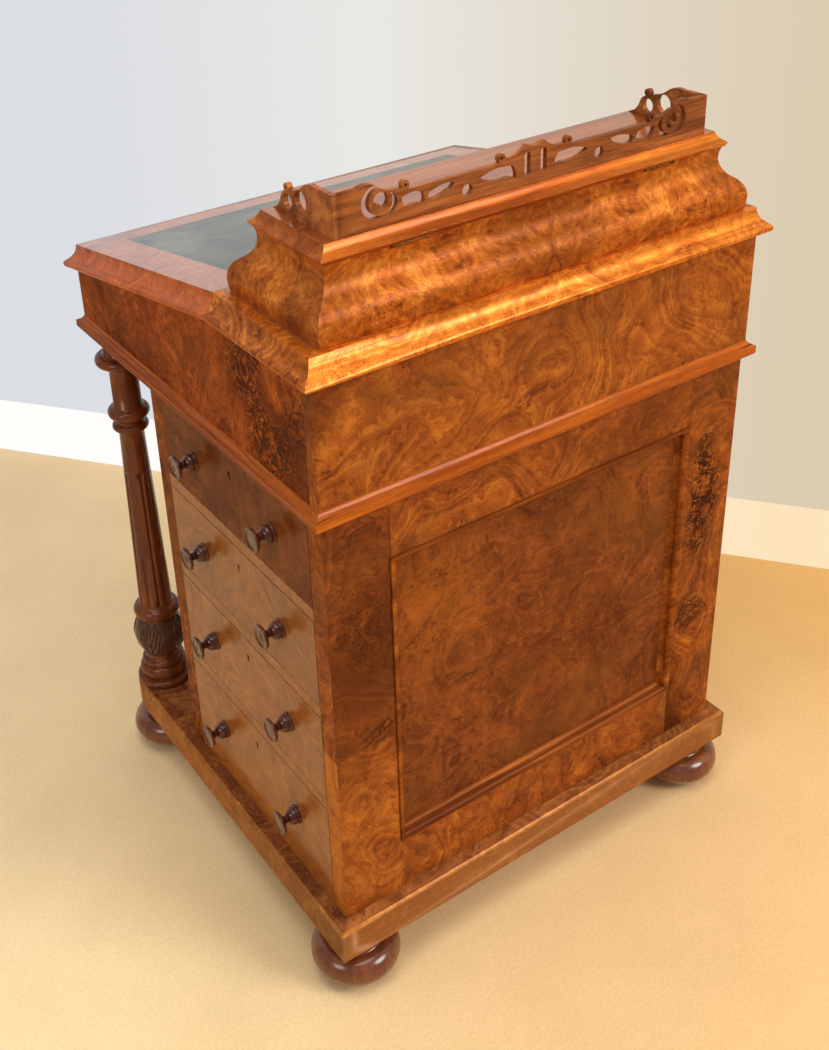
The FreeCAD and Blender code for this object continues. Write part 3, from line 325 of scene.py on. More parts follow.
def burrVeneer(name, finish, burls=()):
    material, tree, shader = newMaterial(name)
    spot = readAttribute(tree, "spot", "Vector")
    figure = useGroup(tree, burrFigure, {"Spot": spot, "Swirl": finish["swirl"]})
    mixed = readAttribute(tree, "tone")
    for effect, weight in finish["weights"].items():
        mixed = timesPlus(tree, figure[effect], weight, mixed)
    colour = ramp(tree, mixed, finish["colours"])
    masks = {"patch": spread(tree, figure["Patch"], 0.48, 0.66), "stain": spread(tree, figure["Stain"], 0.5, 0.68),
             "vein": figure["Vein"], "eye": figure["Eye"]}
    for effect, mask in masks.items():
        shade = finish["veinColour" if effect == "eye" else effect + "Colour"]
        colour = blendColour(tree, product(tree, mask, finish[effect]), colour, shade)
    for centre, size, depth, shade in burls:
        burl = useGroup(tree, knot, {"Place": objectPlace(tree), "Centre": centre, "Size": size})
        dark = product(tree, burl["Mask"], spread(tree, burl["Ring"], 0.44, 0.54, 0.1, 1.0))
        colour = blendColour(tree, product(tree, dark, depth), colour, shade)
    if "paintedEdgeLightTint" in finish:
        # painted light: what doesn't face up gets a tint of its own, lighter on the plinth's sides and oranger on the
        # slope's moulded edge, and on the plinth also a plainer colour, partly its plainer veneer and partly painted
        # light
        edge = calc(tree, "SUBTRACT", 1.0, readAttribute(tree, "flat"))
        colour = blendColour(tree, edge, colour, finish["paintedEdgeLightTint"], "MULTIPLY")
        if "plainEdgeAndLightColour" in finish:
            cover = product(tree, edge, finish["plainEdgeAndLightCover"])
            colour = blendColour(tree, cover, colour, finish["plainEdgeAndLightColour"])
    polished(tree, shader, colour, spot, figure["Fibre"], finish)
    return material


def solidWood(name, finish, darkBand=None):
    material, tree, shader = newMaterial(name)
    spot = readAttribute(tree, "spot", "Vector")
    grain = useGroup(tree, straightGrain, {"Spot": spot, "Fineness": finish["fineness"]})
    mixed = timesPlus(tree, grain["Band"], 0.6, readAttribute(tree, "tone"))
    mixed = timesPlus(tree, grain["Streak"], 0.4, mixed)
    colour = ramp(tree, mixed, finish["colours"])
    pores = product(tree, grain["Pore"], finish["pore"])
    colour = blendColour(tree, pores, colour, finish["poreColour"])
    if darkBand:
        # darker between two heights, where the carving is
        height = addNode(tree, "ShaderNodeSeparateXYZ", {0: objectPlace(tree)}).outputs[2]
        low, high, fade = darkBand["low"], darkBand["high"], darkBand["fade"]
        within = product(tree, spread(tree, height, low - fade, low + fade),
                         spread(tree, height, high - fade, high + fade, 1.0, 0.0))
        colour = blendColour(tree, product(tree, within, darkBand["depth"]), colour, darkBand["colour"])
    polished(tree, shader, colour, spot, grain["Streak"], finish)
    return material


burrLook = dict(
    weights=dict(Mottle=0.3, Curl=0.27, Flame=0.25, Fibre=0.18), swirl=1.0, stain=0.65,
    stainColour=(0.11, 0.026, 0.006), patch=0.45, patchColour=(0.17, 0.056, 0.012), vein=0.4, eye=0.65,
    veinColour=(0.04, 0.01, 0.003), wear=0.8, arrisWearAndLightColour=(0.17, 0.052, 0.017), dullness=0.4, relief=0.45, specular=0.0,
    coat=0.16, coatRoughness=0.12, gleam=0.05,
    colours=[(0.38, 0.09, 0.021, 0.007), (0.455, 0.215, 0.052, 0.011), (0.53, 0.345, 0.089, 0.014),
        (0.62, 0.54, 0.172, 0.025)])
sideLook = dict(
    burrLook, stain=0.7, stainColour=(0.11, 0.024, 0.007), patch=0.4, coat=0.08, gleam=0.06,
    colours=[(0.38, 0.13, 0.026, 0.008), (0.46, 0.285, 0.06, 0.012), (0.54, 0.45, 0.103, 0.016),
        (0.62, 0.69, 0.2, 0.03)])
coveLook = dict(
    burrLook, weights=dict(Mottle=0.34, Curl=0.32, Flame=0.14, Fibre=0.2), patch=0.35, dullness=0.48,
    coatRoughness=0.34, gleam=0.38,
    colours=[(0.38, 0.11, 0.021, 0.004), (0.45, 0.3, 0.064, 0.008), (0.53, 0.52, 0.135, 0.014),
        (0.62, 0.79, 0.29, 0.045)])
# the pale gold colour of its arrises is a painted highlight
corniceLook = dict(
    burrLook, weights=dict(Mottle=0.22, Curl=0.26, Flame=0.26, Fibre=0.26), swirl=0.5, stain=0.34, patch=0.25,
    vein=0.12, eye=0.0, wear=1.0, arrisWearAndLightColour=(0.9, 0.52, 0.2), dullness=0.42, coat=0.26, coatRoughness=0.2, gleam=0.62,
    colours=[(0.38, 0.2, 0.042, 0.006), (0.45, 0.48, 0.112, 0.012), (0.53, 0.74, 0.215, 0.022),
        (0.62, 0.96, 0.38, 0.06)])
panelLook = dict(
    burrLook, stain=0.5, patch=0.6, coat=0.14,
    colours=[(0.38, 0.12, 0.031, 0.01), (0.455, 0.225, 0.06, 0.013), (0.53, 0.315, 0.087, 0.017),
        (0.62, 0.45, 0.137, 0.025)])
# the dark colour of its arrises is painted shade of the gaps round the drawer fronts
frontLook = dict(
    weights=dict(Mottle=0.34, Curl=0.24, Flame=0.26, Fibre=0.16), swirl=0.8, stain=0.4,
    stainColour=(0.16, 0.042, 0.008), patch=0.3, patchColour=(0.24, 0.085, 0.016), vein=0.3, eye=0.35,
    veinColour=(0.036, 0.011, 0.004), wear=1.0, arrisWearAndLightColour=(0.075, 0.022, 0.011), dullness=0.36, relief=0.5,
    specular=0.1, coat=0.55, coatRoughness=0.16,
    colours=[(0.38, 0.17, 0.047, 0.007), (0.46, 0.27, 0.078, 0.01), (0.54, 0.36, 0.11, 0.013),
        (0.62, 0.46, 0.152, 0.019)])
# the pale gold colour of the arrises is a painted highlight
mouldingLook = dict(
    gleam=0.6, fineness=1.0, pore=0.45, poreColour=(0.06, 0.014, 0.004), wear=1.0, arrisWearAndLightColour=(0.82, 0.43, 0.16),
    dullness=0.38, relief=0.6, specular=0.04, coat=0.1, coatRoughness=0.2,
    colours=[(0.28, 0.16, 0.029, 0.004), (0.43, 0.33, 0.066, 0.007), (0.57, 0.5, 0.128, 0.014),
        (0.74, 0.76, 0.26, 0.036)])
lidLook = dict(mouldingLook, coat=1.0, coatRoughness=0.14, edgeCoat=0.1, coatIor=1.9)
waistLook = dict(
    mouldingLook, gleam=0.14, coat=0.24, coatRoughness=0.1,
    colours=[(0.3, 0.15, 0.026, 0.004), (0.44, 0.31, 0.062, 0.006), (0.56, 0.47, 0.112, 0.01),
        (0.7, 0.66, 0.2, 0.022)])
galleryLook = dict(
    gleam=0.06, fineness=1.1, pore=0.45, poreColour=(0.04, 0.012, 0.005), wear=0.8, arrisWearAndLightColour=(0.11, 0.04, 0.018),
    dullness=0.4, relief=0.7, specular=0.05, coat=0.12, coatRoughness=0.2,
    colours=[(0.3, 0.09, 0.025, 0.01), (0.44, 0.22, 0.063, 0.018), (0.56, 0.4, 0.125, 0.032),
        (0.7, 0.6, 0.21, 0.055)])
turnedLook = dict(
    fineness=1.2, pore=0.5, poreColour=(0.02, 0.007, 0.003), wear=0.6, arrisWearAndLightColour=(0.3, 0.11, 0.04), dullness=0.26,
    relief=0.6, specular=0.2, coat=0.75, coatRoughness=0.1,
    colours=[(0.28, 0.045, 0.012, 0.005), (0.45, 0.095, 0.026, 0.009), (0.58, 0.15, 0.042, 0.013),
        (0.74, 0.23, 0.07, 0.021)])
pillarLook = dict(
    turnedLook, specular=0.06, coat=0.42, gleam=0.04,
    colours=[(0.28, 0.06, 0.014, 0.005), (0.45, 0.13, 0.031, 0.009), (0.58, 0.205, 0.052, 0.014),
        (0.74, 0.31, 0.088, 0.023)])
carvedLook = dict(
    turnedLook, dullness=0.42, relief=1.2, coat=0.6, coatRoughness=0.2,
    colours=[(0.28, 0.038, 0.014, 0.008), (0.45, 0.078, 0.027, 0.014), (0.58, 0.115, 0.04, 0.019),
        (0.74, 0.17, 0.063, 0.03)])
footLook = dict(
    turnedLook, dullness=0.3, coat=0.9, coatRoughness=0.15,
    colours=[(0.28, 0.065, 0.016, 0.006), (0.45, 0.135, 0.033, 0.01), (0.58, 0.205, 0.054, 0.015),
        (0.74, 0.31, 0.092, 0.025)])
knobLook = dict(
    turnedLook, dullness=0.22, specular=0.1, coatRoughness=0.06,
    colours=[(0.28, 0.036, 0.008, 0.005), (0.45, 0.078, 0.016, 0.008), (0.58, 0.13, 0.027, 0.011),
        (0.74, 0.2, 0.046, 0.016)])
panelMouldingLook = dict(
    mouldingLook, gleam=0.16, coat=0.06, coatRoughness=0.25,
    colours=[(0.3, 0.09, 0.019, 0.004), (0.44, 0.2, 0.046, 0.007), (0.56, 0.35, 0.094, 0.012),
        (0.7, 0.56, 0.18, 0.024)])
liningLook = dict(
    fineness=0.8, pore=0.5, poreColour=(0.08, 0.035, 0.015), wear=0.3, arrisWearAndLightColour=(0.45, 0.27, 0.15), dullness=0.62,
    relief=1.0, specular=0.25, coat=0.0, coatRoughness=0.3,
    colours=[(0.25, 0.13, 0.047, 0.018), (0.45, 0.235, 0.09, 0.036), (0.6, 0.33, 0.138, 0.06),
        (0.78, 0.415, 0.195, 0.092)])
# its sides are tinted lighter than its top, which is painted light, and given a plainer colour, partly their plainer
# veneer and partly painted light
plinthLook = dict(
    frontLook, weights=dict(Mottle=0.3, Curl=0.3, Flame=0.22, Fibre=0.18), patch=0.25, eye=0.15, wear=0.8,
    arrisWearAndLightColour=(0.27, 0.11, 0.045), specular=0.0, coat=0.12, gleam=0.16, paintedEdgeLightTint=(1.4, 1.5, 1.25),
    plainEdgeAndLightColour=(0.43, 0.17, 0.042), plainEdgeAndLightCover=0.42,
    colours=[(0.36, 0.14, 0.036, 0.015), (0.46, 0.28, 0.088, 0.026), (0.54, 0.47, 0.165, 0.043),
        (0.66, 0.62, 0.27, 0.07)])
# the top drawer is darker and redder than the others; its darkness is partly painted shade under the overhang of the
# box
topDrawerShadeLook = dict(
    frontLook, stain=0.6, stainColour=(0.09, 0.02, 0.006), specular=0.0, coat=0.28,
    colours=[(0.38, 0.11, 0.025, 0.006), (0.46, 0.18, 0.048, 0.01), (0.54, 0.26, 0.072, 0.013),
        (0.62, 0.38, 0.115, 0.018)])
# top faces are met at a low angle and carry the room's light in their polish; their moulded edges are tinted oranger,
# which is painted light
deskTopLook = dict(
    burrLook, stain=0.3, patch=0.2, specular=0.08, coat=1.0, coatRoughness=0.14, gleam=0.12, edgeCoat=0.12,
    coatIor=1.9, paintedEdgeLightTint=(1.25, 1.0, 0.45),
    colours=[(0.38, 0.2, 0.042, 0.008), (0.45, 0.34, 0.08, 0.013), (0.53, 0.46, 0.12, 0.02),
        (0.62, 0.6, 0.19, 0.04)])

darkKnot, redKnot = (0.05, 0.012, 0.004), (0.11, 0.02, 0.004)
# each knot's centre, its half sizes, how deep its colour is, and the colour
knots = {
    "side": [
        ((0.265, 0.13, 0.7), (0.2, 0.042, 0.06), 0.9, darkKnot),
        ((0.265, 0.165, 0.64), (0.2, 0.06, 0.055), 0.9, darkKnot),
        ((0.265, 0.215, 0.68), (0.2, 0.035, 0.05), 0.75, darkKnot),
        ((0.265, -0.06, 0.62), (0.2, 0.04, 0.03), 0.55, redKnot)],
    "frame": [
        ((-0.222, 0.242, 0.43), (0.032, 0.2, 0.11), 1.0, darkKnot),
        ((-0.215, 0.242, 0.27), (0.03, 0.2, 0.034), 0.8, darkKnot),
        ((0.222, 0.242, 0.45), (0.034, 0.2, 0.065), 0.55, darkKnot),
        ((0.205, 0.242, 0.33), (0.02, 0.2, 0.016), 0.75, darkKnot)],
    "panel": [
        ((0.135, 0.233, 0.44), (0.085, 0.2, 0.09), 0.35, (0.48, 0.14, 0.012)),
        ((-0.125, 0.233, 0.47), (0.06, 0.2, 0.06), 0.2, (0.42, 0.12, 0.01)),
        ((-0.01, 0.233, 0.35), (0.11, 0.2, 0.11), 0.35, redKnot),
        ((-0.09, 0.233, 0.3), (0.05, 0.2, 0.06), 0.45, (0.09, 0.017, 0.004))],
}

burr = burrVeneer("burr walnut veneer", burrLook)
sideBurr = burrVeneer("burr walnut side veneer", sideLook, knots["side"])
coveBurr = burrVeneer("burr walnut cove veneer", coveLook)
frameBurr = burrVeneer("burr walnut frame veneer", burrLook, knots["frame"])
panelBurr = burrVeneer("burr walnut panel veneer", panelLook, knots["panel"])
deskTopVeneer = burrVeneer("burr walnut desk top", deskTopLook)
frontVeneer = burrVeneer("plain walnut veneer", frontLook)
topDrawerShadeVeneer = burrVeneer("plain walnut drawer veneer with painted shade", topDrawerShadeLook)
plinthVeneer = burrVeneer("mottled walnut veneer", plinthLook)
corniceVeneer = burrVeneer("cross-banded golden walnut", corniceLook)
lidWood = solidWood("polished walnut lid", lidLook)
waistWood = solidWood("red walnut moulding", waistLook)
panelMoulding = solidWood("dark walnut moulding", panelMouldingLook)
galleryWood = solidWood("fretted walnut", galleryLook)
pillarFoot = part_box("pillar_left")[0].z
ballDarkBand = dict(low=pillarFoot + 0.046, high=pillarFoot + 0.098, fade=0.002, depth=0.6, colour=(0.066, 0.042, 0.032))
pillarWood = solidWood("dark turned walnut", pillarLook, ballDarkBand)
footWood = solidWood("turned walnut foot", footLook)
knobWood = solidWood("turned walnut knob", knobLook)
carved = solidWood("carved walnut", carvedLook)
lining = solidWood("mahogany lining", liningLook)

leatherLook = dict(
    colour=(0.05, 0.062, 0.046), worn=(0.13, 0.14, 0.11), grain=(0.025, 0.03, 0.022), tooling=(0.19, 0.155, 0.07),
    sheet=0.001, outerLine=0.0125, innerLine=0.0165, lineWidth=0.0007, coat=0.6, coatRoughness=0.22,
)


def skiver(name, look, half, middle, tilt):
    # a gilt double line is rolled round the skiver, inside its edge
    material, tree, shader = newMaterial(name)
    place = vectorCalc(tree, "SUBTRACT", objectPlace(tree), tuple(middle))
    turn = {"Vector": place, "Angle": -tilt}
    flat = addNode(tree, "ShaderNodeVectorRotate", turn, rotation_type="X_AXIS").outputs[0]
    parts = addNode(tree, "ShaderNodeSeparateXYZ", {0: flat}).outputs
    insets = [calc(tree, "SUBTRACT", half[way], calc(tree, "ABSOLUTE", parts[way])) for way in (0, 1)]
    inset = calc(tree, "MINIMUM", *insets)
    offs = [calc(tree, "ABSOLUTE", calc(tree, "SUBTRACT", inset, look[line])) for line in ("outerLine", "innerLine")]
    width = look["lineWidth"]
    lines = calc(tree, "MAXIMUM", *(spread(tree, off, width * 0.5, width, 1.0, 0.0) for off in offs))
    rubbed = cloudy(tree, flat, 60.0, 4.0, 0.6)
    gilt = product(tree, lines, spread(tree, rubbed, 0.35, 0.6, 0.35, 1.0))
    wear = spread(tree, cloudy(tree, flat, 7.0, 5.0, 0.6), 0.42, 0.72)
    pebble = addNode(tree, "ShaderNodeTexVoronoi", {"Vector": flat, "Scale": 1100.0}).outputs["Distance"]
    colour = blendColour(tree, wear, look["colour"], look["worn"])
    colour = blendColour(tree, product(tree, pebble, 0.25), colour, look["grain"])
    colour = blendColour(tree, gilt, colour, look["tooling"])
    height = calc(tree, "SUBTRACT", product(tree, pebble, 0.35), lines)
    feed(tree, shader.inputs, {
        "Base Color": colour, "Roughness": timesPlus(tree, wear, -0.1, 0.46),
        "Normal": bumped(tree, height, 0.0003, 0.4),
        "Coat Weight": look["coat"], "Coat Roughness": look["coatRoughness"],
    })
    return material


brassLook = dict(bright=(0.48, 0.32, 0.12), tarnished=(0.13, 0.075, 0.035), dullness=0.26)
hingeLook = dict(bright=(0.24, 0.095, 0.027), tarnished=(0.13, 0.048, 0.016), dullness=0.55)


def agedBrass(name, look):
    material, tree, shader = newMaterial(name)
    place = objectPlace(tree)
    tarnish = spread(tree, cloudy(tree, place, 90.0, 5.0, 0.6), 0.4, 0.66)
    feed(tree, shader.inputs, {
        "Base Color": blendColour(tree, tarnish, look["bright"], look["tarnished"]), "Metallic": 1.0,
        "Roughness": timesPlus(tree, tarnish, 0.3, look["dullness"]),
        "Normal": bumped(tree, cloudy(tree, place, 500.0, 2.0), 0.0002, 0.3),
    })
    return material


brass = agedBrass("aged brass", brassLook)
hingeBrass = agedBrass("dull brass", hingeLook)
print("finishes made")


# pieces made from the frame's own solids

axisOrder = {"x": (0, 1, 2), "y": (1, 2, 0), "z": (2, 0, 1)}
# how far the wood of a solid and of a leaf may lie from the next, how a side run differs, darker by painted shade, and
# what faces up
layingLook = dict(solidReach=9.0, leafReach=5.0, sideShift=3.0, sideShadeTone=-0.045, flatLimit=0.93)
# metres for the merge, degrees for the angles
cleaning = dict(merge=2e-6, flatAngle=0.4, arrisAngle=32.0, sharpAngle=38.0)


def looseParts(mesh):
    # the number of the separate solid to which each vertex belongs
    parent = list(range(len(mesh.vertices)))

    def root(index):
        while parent[index] != index:
            parent[index] = parent[parent[index]]
            index = parent[index]
        return index
    for edge in mesh.edges:
        first, second = (root(vertex) for vertex in edge.vertices)
        if first != second:
            parent[second] = first
    labels = {}
    return [labels.setdefault(root(index), len(labels)) for index in range(len(parent))]


def inLeaf(centre, leaf):
    axis, low, high = leaf.get("within", (0, -math.inf, math.inf))
    return centre[leaf["axis"]] > leaf["at"] and low <= centre[axis] <= high


def sideRun(centre, box):
    # past the mitres, a moulding that goes round a case runs along its sides
    low, high = box
    fromSide = min(centre.x - low.x, high.x - centre.x)
    return fromSide < min(centre.y - low.y, high.y - centre.y)


def chanceShift(chance, reach):
    return np.array([chance.uniform(-reach, reach) for _ in range(3)])


def layValues(mesh, domain, spot, **values):
    mesh.attributes.new("spot", "FLOAT_VECTOR", domain).data.foreach_set("vector", spot.ravel())
    for name, value in values.items():
        mesh.attributes.new(name, "FLOAT", domain).data.foreach_set("value", value)


def pointsOf(mesh):
    points = np.zeros(len(mesh.vertices) * 3, np.float32)
    mesh.vertices.foreach_get("co", points)
    return points.reshape(-1, 3)


def laySpots(mesh, grain, seed, leaves, partTones, toneSpread, mitreBox=None):
    # each solid gets its own stretch of wood, and each leaf of veneer past a joint its own again
    parts = np.array(looseParts(mesh))
    points = pointsOf(mesh)
    chance = random.Random(seed)
    order = sorted(range(int(parts.max()) + 1), key=lambda part: tuple(np.round(points[parts == part].mean(0), 3)))
    woods = {}
    for rank, part in enumerate(order):
        size = np.ptp(points[parts == part], axis=0)
        tone = partTones[rank] if rank < len(partTones) else 0.0
        way = list(axisOrder[grain if grain in axisOrder else "xyz"[int(size.argmax())]])
        shift = chanceShift(chance, layingLook["solidReach"])
        woods[part] = way, shift, tone + chance.uniform(-toneSpread, toneSpread)
    moves = [chanceShift(chance, layingLook["leafReach"]) for _ in leaves]
    spots = np.zeros((len(mesh.loops), 3), np.float32)
    tones, flats = np.zeros((2, len(mesh.loops)), np.float32)
    for polygon in mesh.polygons:
        way, shift, tone = woods[int(parts[polygon.vertices[0]])]
        flips = []
        if mitreBox and sideRun(polygon.center, mitreBox):
            shift, way = shift + layingLook["sideShift"], list(axisOrder["y"])
            # painted shade: the side run is darker than the back run
            tone += layingLook["sideShadeTone"]
        for leaf, move in zip(leaves, moves):
            if not inLeaf(polygon.center, leaf):
                continue
            if leaf.get("matched"):
                flips.append((leaf["axis"], leaf["at"]))
            else:
                shift, tone = shift + move, tone + leaf.get("tone", 0.0)
        for loop in polygon.loop_indices:
            point = points[mesh.loops[loop].vertex_index].copy()
            for axis, at in flips:
                point[axis] = 2 * at - point[axis]
            spots[loop] = point[way] + shift
            tones[loop] = tone
            flats[loop] = polygon.normal.z > layingLook["flatLimit"]
    layValues(mesh, "CORNER", spot=spots, tone=tones, flat=flats)


def addPiece(name, mesh, material, body):
    piece = linked(name, mesh)
    mesh.materials.clear()
    mesh.materials.append(material)
    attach(piece, body)
    return piece


def thinned(built, thickness, share):
    # the boards of the gallery are fretted from thin stuff, and keep their outer faces
    slack = 1e-5
    edge = max(vertex.co.x for vertex in built.verts)
    back = max(vertex.co.y for vertex in built.verts)
    for vertex in built.verts:
        inward = edge - abs(vertex.co.x)
        forward = back - vertex.co.y
        if inward <= thickness + slack:
            vertex.co.x = math.copysign(edge - inward * share, vertex.co.x)
        if inward >= thickness - slack and forward <= thickness + slack:
            vertex.co.y = back - forward * share


def meshFrom(built, name, smooth=True):
    mesh = bpy.data.meshes.new(name)
    built.to_mesh(mesh)
    built.free()
    mesh.polygons.foreach_set("use_smooth", [smooth] * len(mesh.polygons))
    return mesh


def cut(built, place, normal):
    everything = built.verts[:] + built.edges[:] + built.faces[:]
    bmesh.ops.bisect_plane(built, geom=everything, plane_co=place, plane_no=normal)


def softened(node, material, slotName, grain="long", arris=0.0005, seed=1, leaves=(), partTones=(), toneSpread=0.02,
             mitred=False, thin=None):
    # the node's own solids with cleaned faces, rounded arrises that carry wear and painted light, and wood laid on
    # them
    built = bmesh.new()
    built.from_mesh(nodes[node].data)
    bmesh.ops.remove_doubles(built, verts=built.verts, dist=cleaning["merge"])
    flat, sharp, smooth = (math.radians(cleaning[angle]) for angle in ("flatAngle", "arrisAngle", "sharpAngle"))
    bmesh.ops.dissolve_limit(built, angle_limit=flat, verts=built.verts, edges=built.edges)
    if thin:
        thinned(built, **thin)
    for leaf in leaves:
        if not leaf.get("uncut"):
            way = Vector(float(axis == leaf["axis"]) for axis in range(3))
            cut(built, way * leaf["at"], way)
    if mitred:
        low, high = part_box(node)
        for y, slant in ((low.y, -1), (high.y, 1)):
            cut(built, (low.x, y, 0), (1, slant, 0))
            cut(built, (high.x, y, 0), (1, -slant, 0))
    worn = built.faces.layers.float.new("wear")
    if arris:
        edges = [edge for edge in built.edges if len(edge.link_faces) == 2 and edge.calc_face_angle(0.0) > sharp]
        rounded = bmesh.ops.bevel(
            built, geom=edges, offset=arris, segments=2, profile=0.5, affect="EDGES", clamp_overlap=True)
        # the rounded faces take the wear mask, which on the mouldings paints a highlight and on the drawer fronts
        # paints shade
        for face in rounded["faces"]:
            face[worn] = 1.0
    mesh = meshFrom(built, node)
    mesh.set_sharp_from_angle(angle=smooth)
    laySpots(mesh, grain, seed, leaves, partTones, toneSpread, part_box(node) if mitred else None)
    piece = addPiece(node + ".dressed", mesh, material, bodyOf[node])
    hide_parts(node)
    if arris:
        piece.modifiers.new("weighted normals", "WEIGHTED_NORMAL").keep_sharp = True


# a leaf of veneer lies past a plane square to one axis, and some only within a span of another
veneered = {
    "back_panel": dict(material=panelBurr, grain="x", seed=11, partTones=[-0.045]),
    "back_frame": dict(
        material=frameBurr, seed=23, toneSpread=0.0, partTones=[0.005], leaves=[
            dict(axis=2, at=0.315, within=(0, 0.19, 0.3), tone=-0.108),
            dict(axis=0, at=0.19, tone=0.052),
            dict(axis=0, at=0.2626, tone=0.05, uncut=True),
            dict(axis=2, at=0.544, within=(0, -0.3, -0.19), tone=-0.035),
            dict(axis=0, at=0.0, within=(0, 0.0, 0.19), tone=0.01)]),
    "box_back": dict(material=burr, grain="x", seed=31, partTones=[0.022], arris=0.0007),
    "box_sides": dict(
        material=sideBurr, grain="z", seed=45, partTones=[-0.01, -0.01], leaves=[dict(axis=1, at=0.092, tone=0.015)]),
    "box_front": dict(material=burr, grain="x", seed=52),
    "knee_panel": dict(material=burr, grain="z", seed=61, partTones=[-0.03]),
    "top_board": dict(material=deskTopVeneer, grain="x", seed=72),
    "writing_slope": dict(material=deskTopVeneer, seed=83),
    "stationery_walls": dict(
        material=coveBurr, grain="x", seed=94, partTones=[0.01, 0.0, 0.02, 0.01],
        leaves=[dict(axis=0, at=0.0, matched=True)]),
    "stationery_lid": dict(material=lidWood, grain="x", seed=103),
    "plinth": dict(
        material=plinthVeneer, grain="x", seed=117, arris=0.0007, mitred=True,
        leaves=[dict(axis=1, at=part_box("plinth")[1].y - 0.0009, tone=-0.13, uncut=True)]),
    "sham_side": dict(material=frontVeneer, grain="z", seed=121),
}
for node, settings in veneered.items():
    softened(node, slotName="burr_walnut", **settings)
print("veneered pieces made")

# painted shade: the drawers are darker towards the top, under the overhang of the box
drawerShadeTones = {1: -0.03, 2: -0.025, 3: -0.005, 4: 0.0}
for number, tone in drawerShadeTones.items():
    veneer = topDrawerShadeVeneer if number == 1 else frontVeneer
    softened(f"drawer_front_{number}", veneer, "figured_walnut", "y", seed=130 + number, arris=0.001, partTones=[tone])
    softened(f"drawer_box_{number}", lining, "mahogany", seed=140 + number, arris=0.0004)
    softened(f"drawer_lock_{number}", brass, "brass", seed=150 + number, arris=0.0002)
softened("sham_fronts", frontVeneer, "figured_walnut", grain="y", seed=160, arris=0.0006)
softened("drawer_rails", frontVeneer, "walnut", seed=161)
softened("cornice", corniceVeneer, "walnut", seed=177, arris=0.0007, mitred=True)
softened("waist_moulding", waistWood, "walnut", seed=184, mitred=True)
softened("back_panel_moulding", panelMoulding, "walnut", seed=189, arris=0.0003)
softened("gallery", galleryWood, "walnut", seed=177, arris=0.0004, thin=dict(thickness=0.008, share=0.64))
for node in ("box_bottom", "small_drawer_casing", "stationery_dividers", "dust_boards"):
    softened(node, lining, "mahogany", seed=180 + len(node), arris=0.0004)
for side in ("left", "right"):
    softened("small_drawer_" + side, lining, "mahogany", grain="x", seed=190 + len(side), arris=0.0003)
for node in ("hinge_leaves_fixed", "slope_hinge_leaves", "lid_hinge_leaves"):
    softened(node, hingeBrass, "brass", arris=0)
softened("castor_sockets", brass, "brass", arris=0)
for corner in ("back_right", "back_left", "front_right", "front_left"):
    softened("castor_fork_" + corner, brass, "brass", arris=0)
    softened("castor_wheel_" + corner, brass, "brass", arris=0)
    softened("bun_foot_" + corner, footWood, "dark_walnut", "z", arris=0, seed=200 + len(corner), partTones=[0.05])
print("plain pieces made")

for side in ("left", "right"):
    softened("pillar_" + side, pillarWood, "dark_walnut", grain="z", seed=210 + len(side), arris=0)
for node in ["sham_knobs"] + [f"drawer_knobs_{number}" for number in drawerShadeTones]:
    softened(node, knobWood, "dark_walnut", grain="x", seed=220, arris=0)
print("turned pieces made")


# carved leaves on the balls of the pillars

carvingLook = dict(
    low=0.0475, high=0.0965, leaves=4, turn=40.0,
    rib=0.0021, scrollRib=0.95, sides=8, steps=20, sink=0.25,
    # the share of a scroll that is sweep, and how wide the sweep and the curl are for their reach
    sweep=0.55, lean=0.72, curlSize=0.28, curlHeight=0.8, tightening=0.72,
    # the rib down the middle of a leaf, in shares of its height
    spine=(0.04, 0.96), spineSteps=12,
    # each scroll starts at a share of the height, swings to a share of a leaf's width and curls by turns
    scrolls=[
        dict(start=0.1, reach=0.62, rise=0.46, curl=1.35),
        dict(start=0.32, reach=0.46, rise=0.4, curl=1.25),
        dict(start=0.54, reach=0.3, rise=0.32, curl=1.15)],
)


def ballProfile(node, look):
    low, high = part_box(node)
    axis = Vector(((low.x + high.x) / 2, (low.y + high.y) / 2, 0))
    bottom, top = low.z + look["low"], low.z + look["high"]
    margin = 0.004
    radii = {}
    for vertex in nodes[node].data.vertices:
        if bottom - margin < vertex.co.z < top + margin:
            key = round(vertex.co.z, 4)
            radii[key] = max(radii.get(key, 0.0), math.hypot(vertex.co.x - axis.x, vertex.co.y - axis.y))
    return axis, bottom, top, *zip(*sorted(radii.items()))


def scrollPath(spec, side, look):
    # a path in shares of the leaf: across in x and up in y, first a sweep and then a spiral
    path = []
    curl = look["curlSize"] * spec["reach"]
    for step in range(look["steps"]):
        t = step / (look["steps"] - 1)
        sweep = min(1.0, t / look["sweep"]) * math.pi / 2
        x = spec["reach"] * math.sin(sweep) * look["lean"]
        y = spec["start"] + spec["rise"] * (1 - math.cos(sweep))
        if t > look["sweep"]:
            turn = (t - look["sweep"]) / (1 - look["sweep"])
            angle = turn * spec["curl"] * math.pi * 1.5
            radius = curl * (1 - look["tightening"] * turn)
            x += radius * math.sin(angle)
            y += (curl - radius * math.cos(angle)) * look["curlHeight"]
        path.append((side * x, y))
    return path


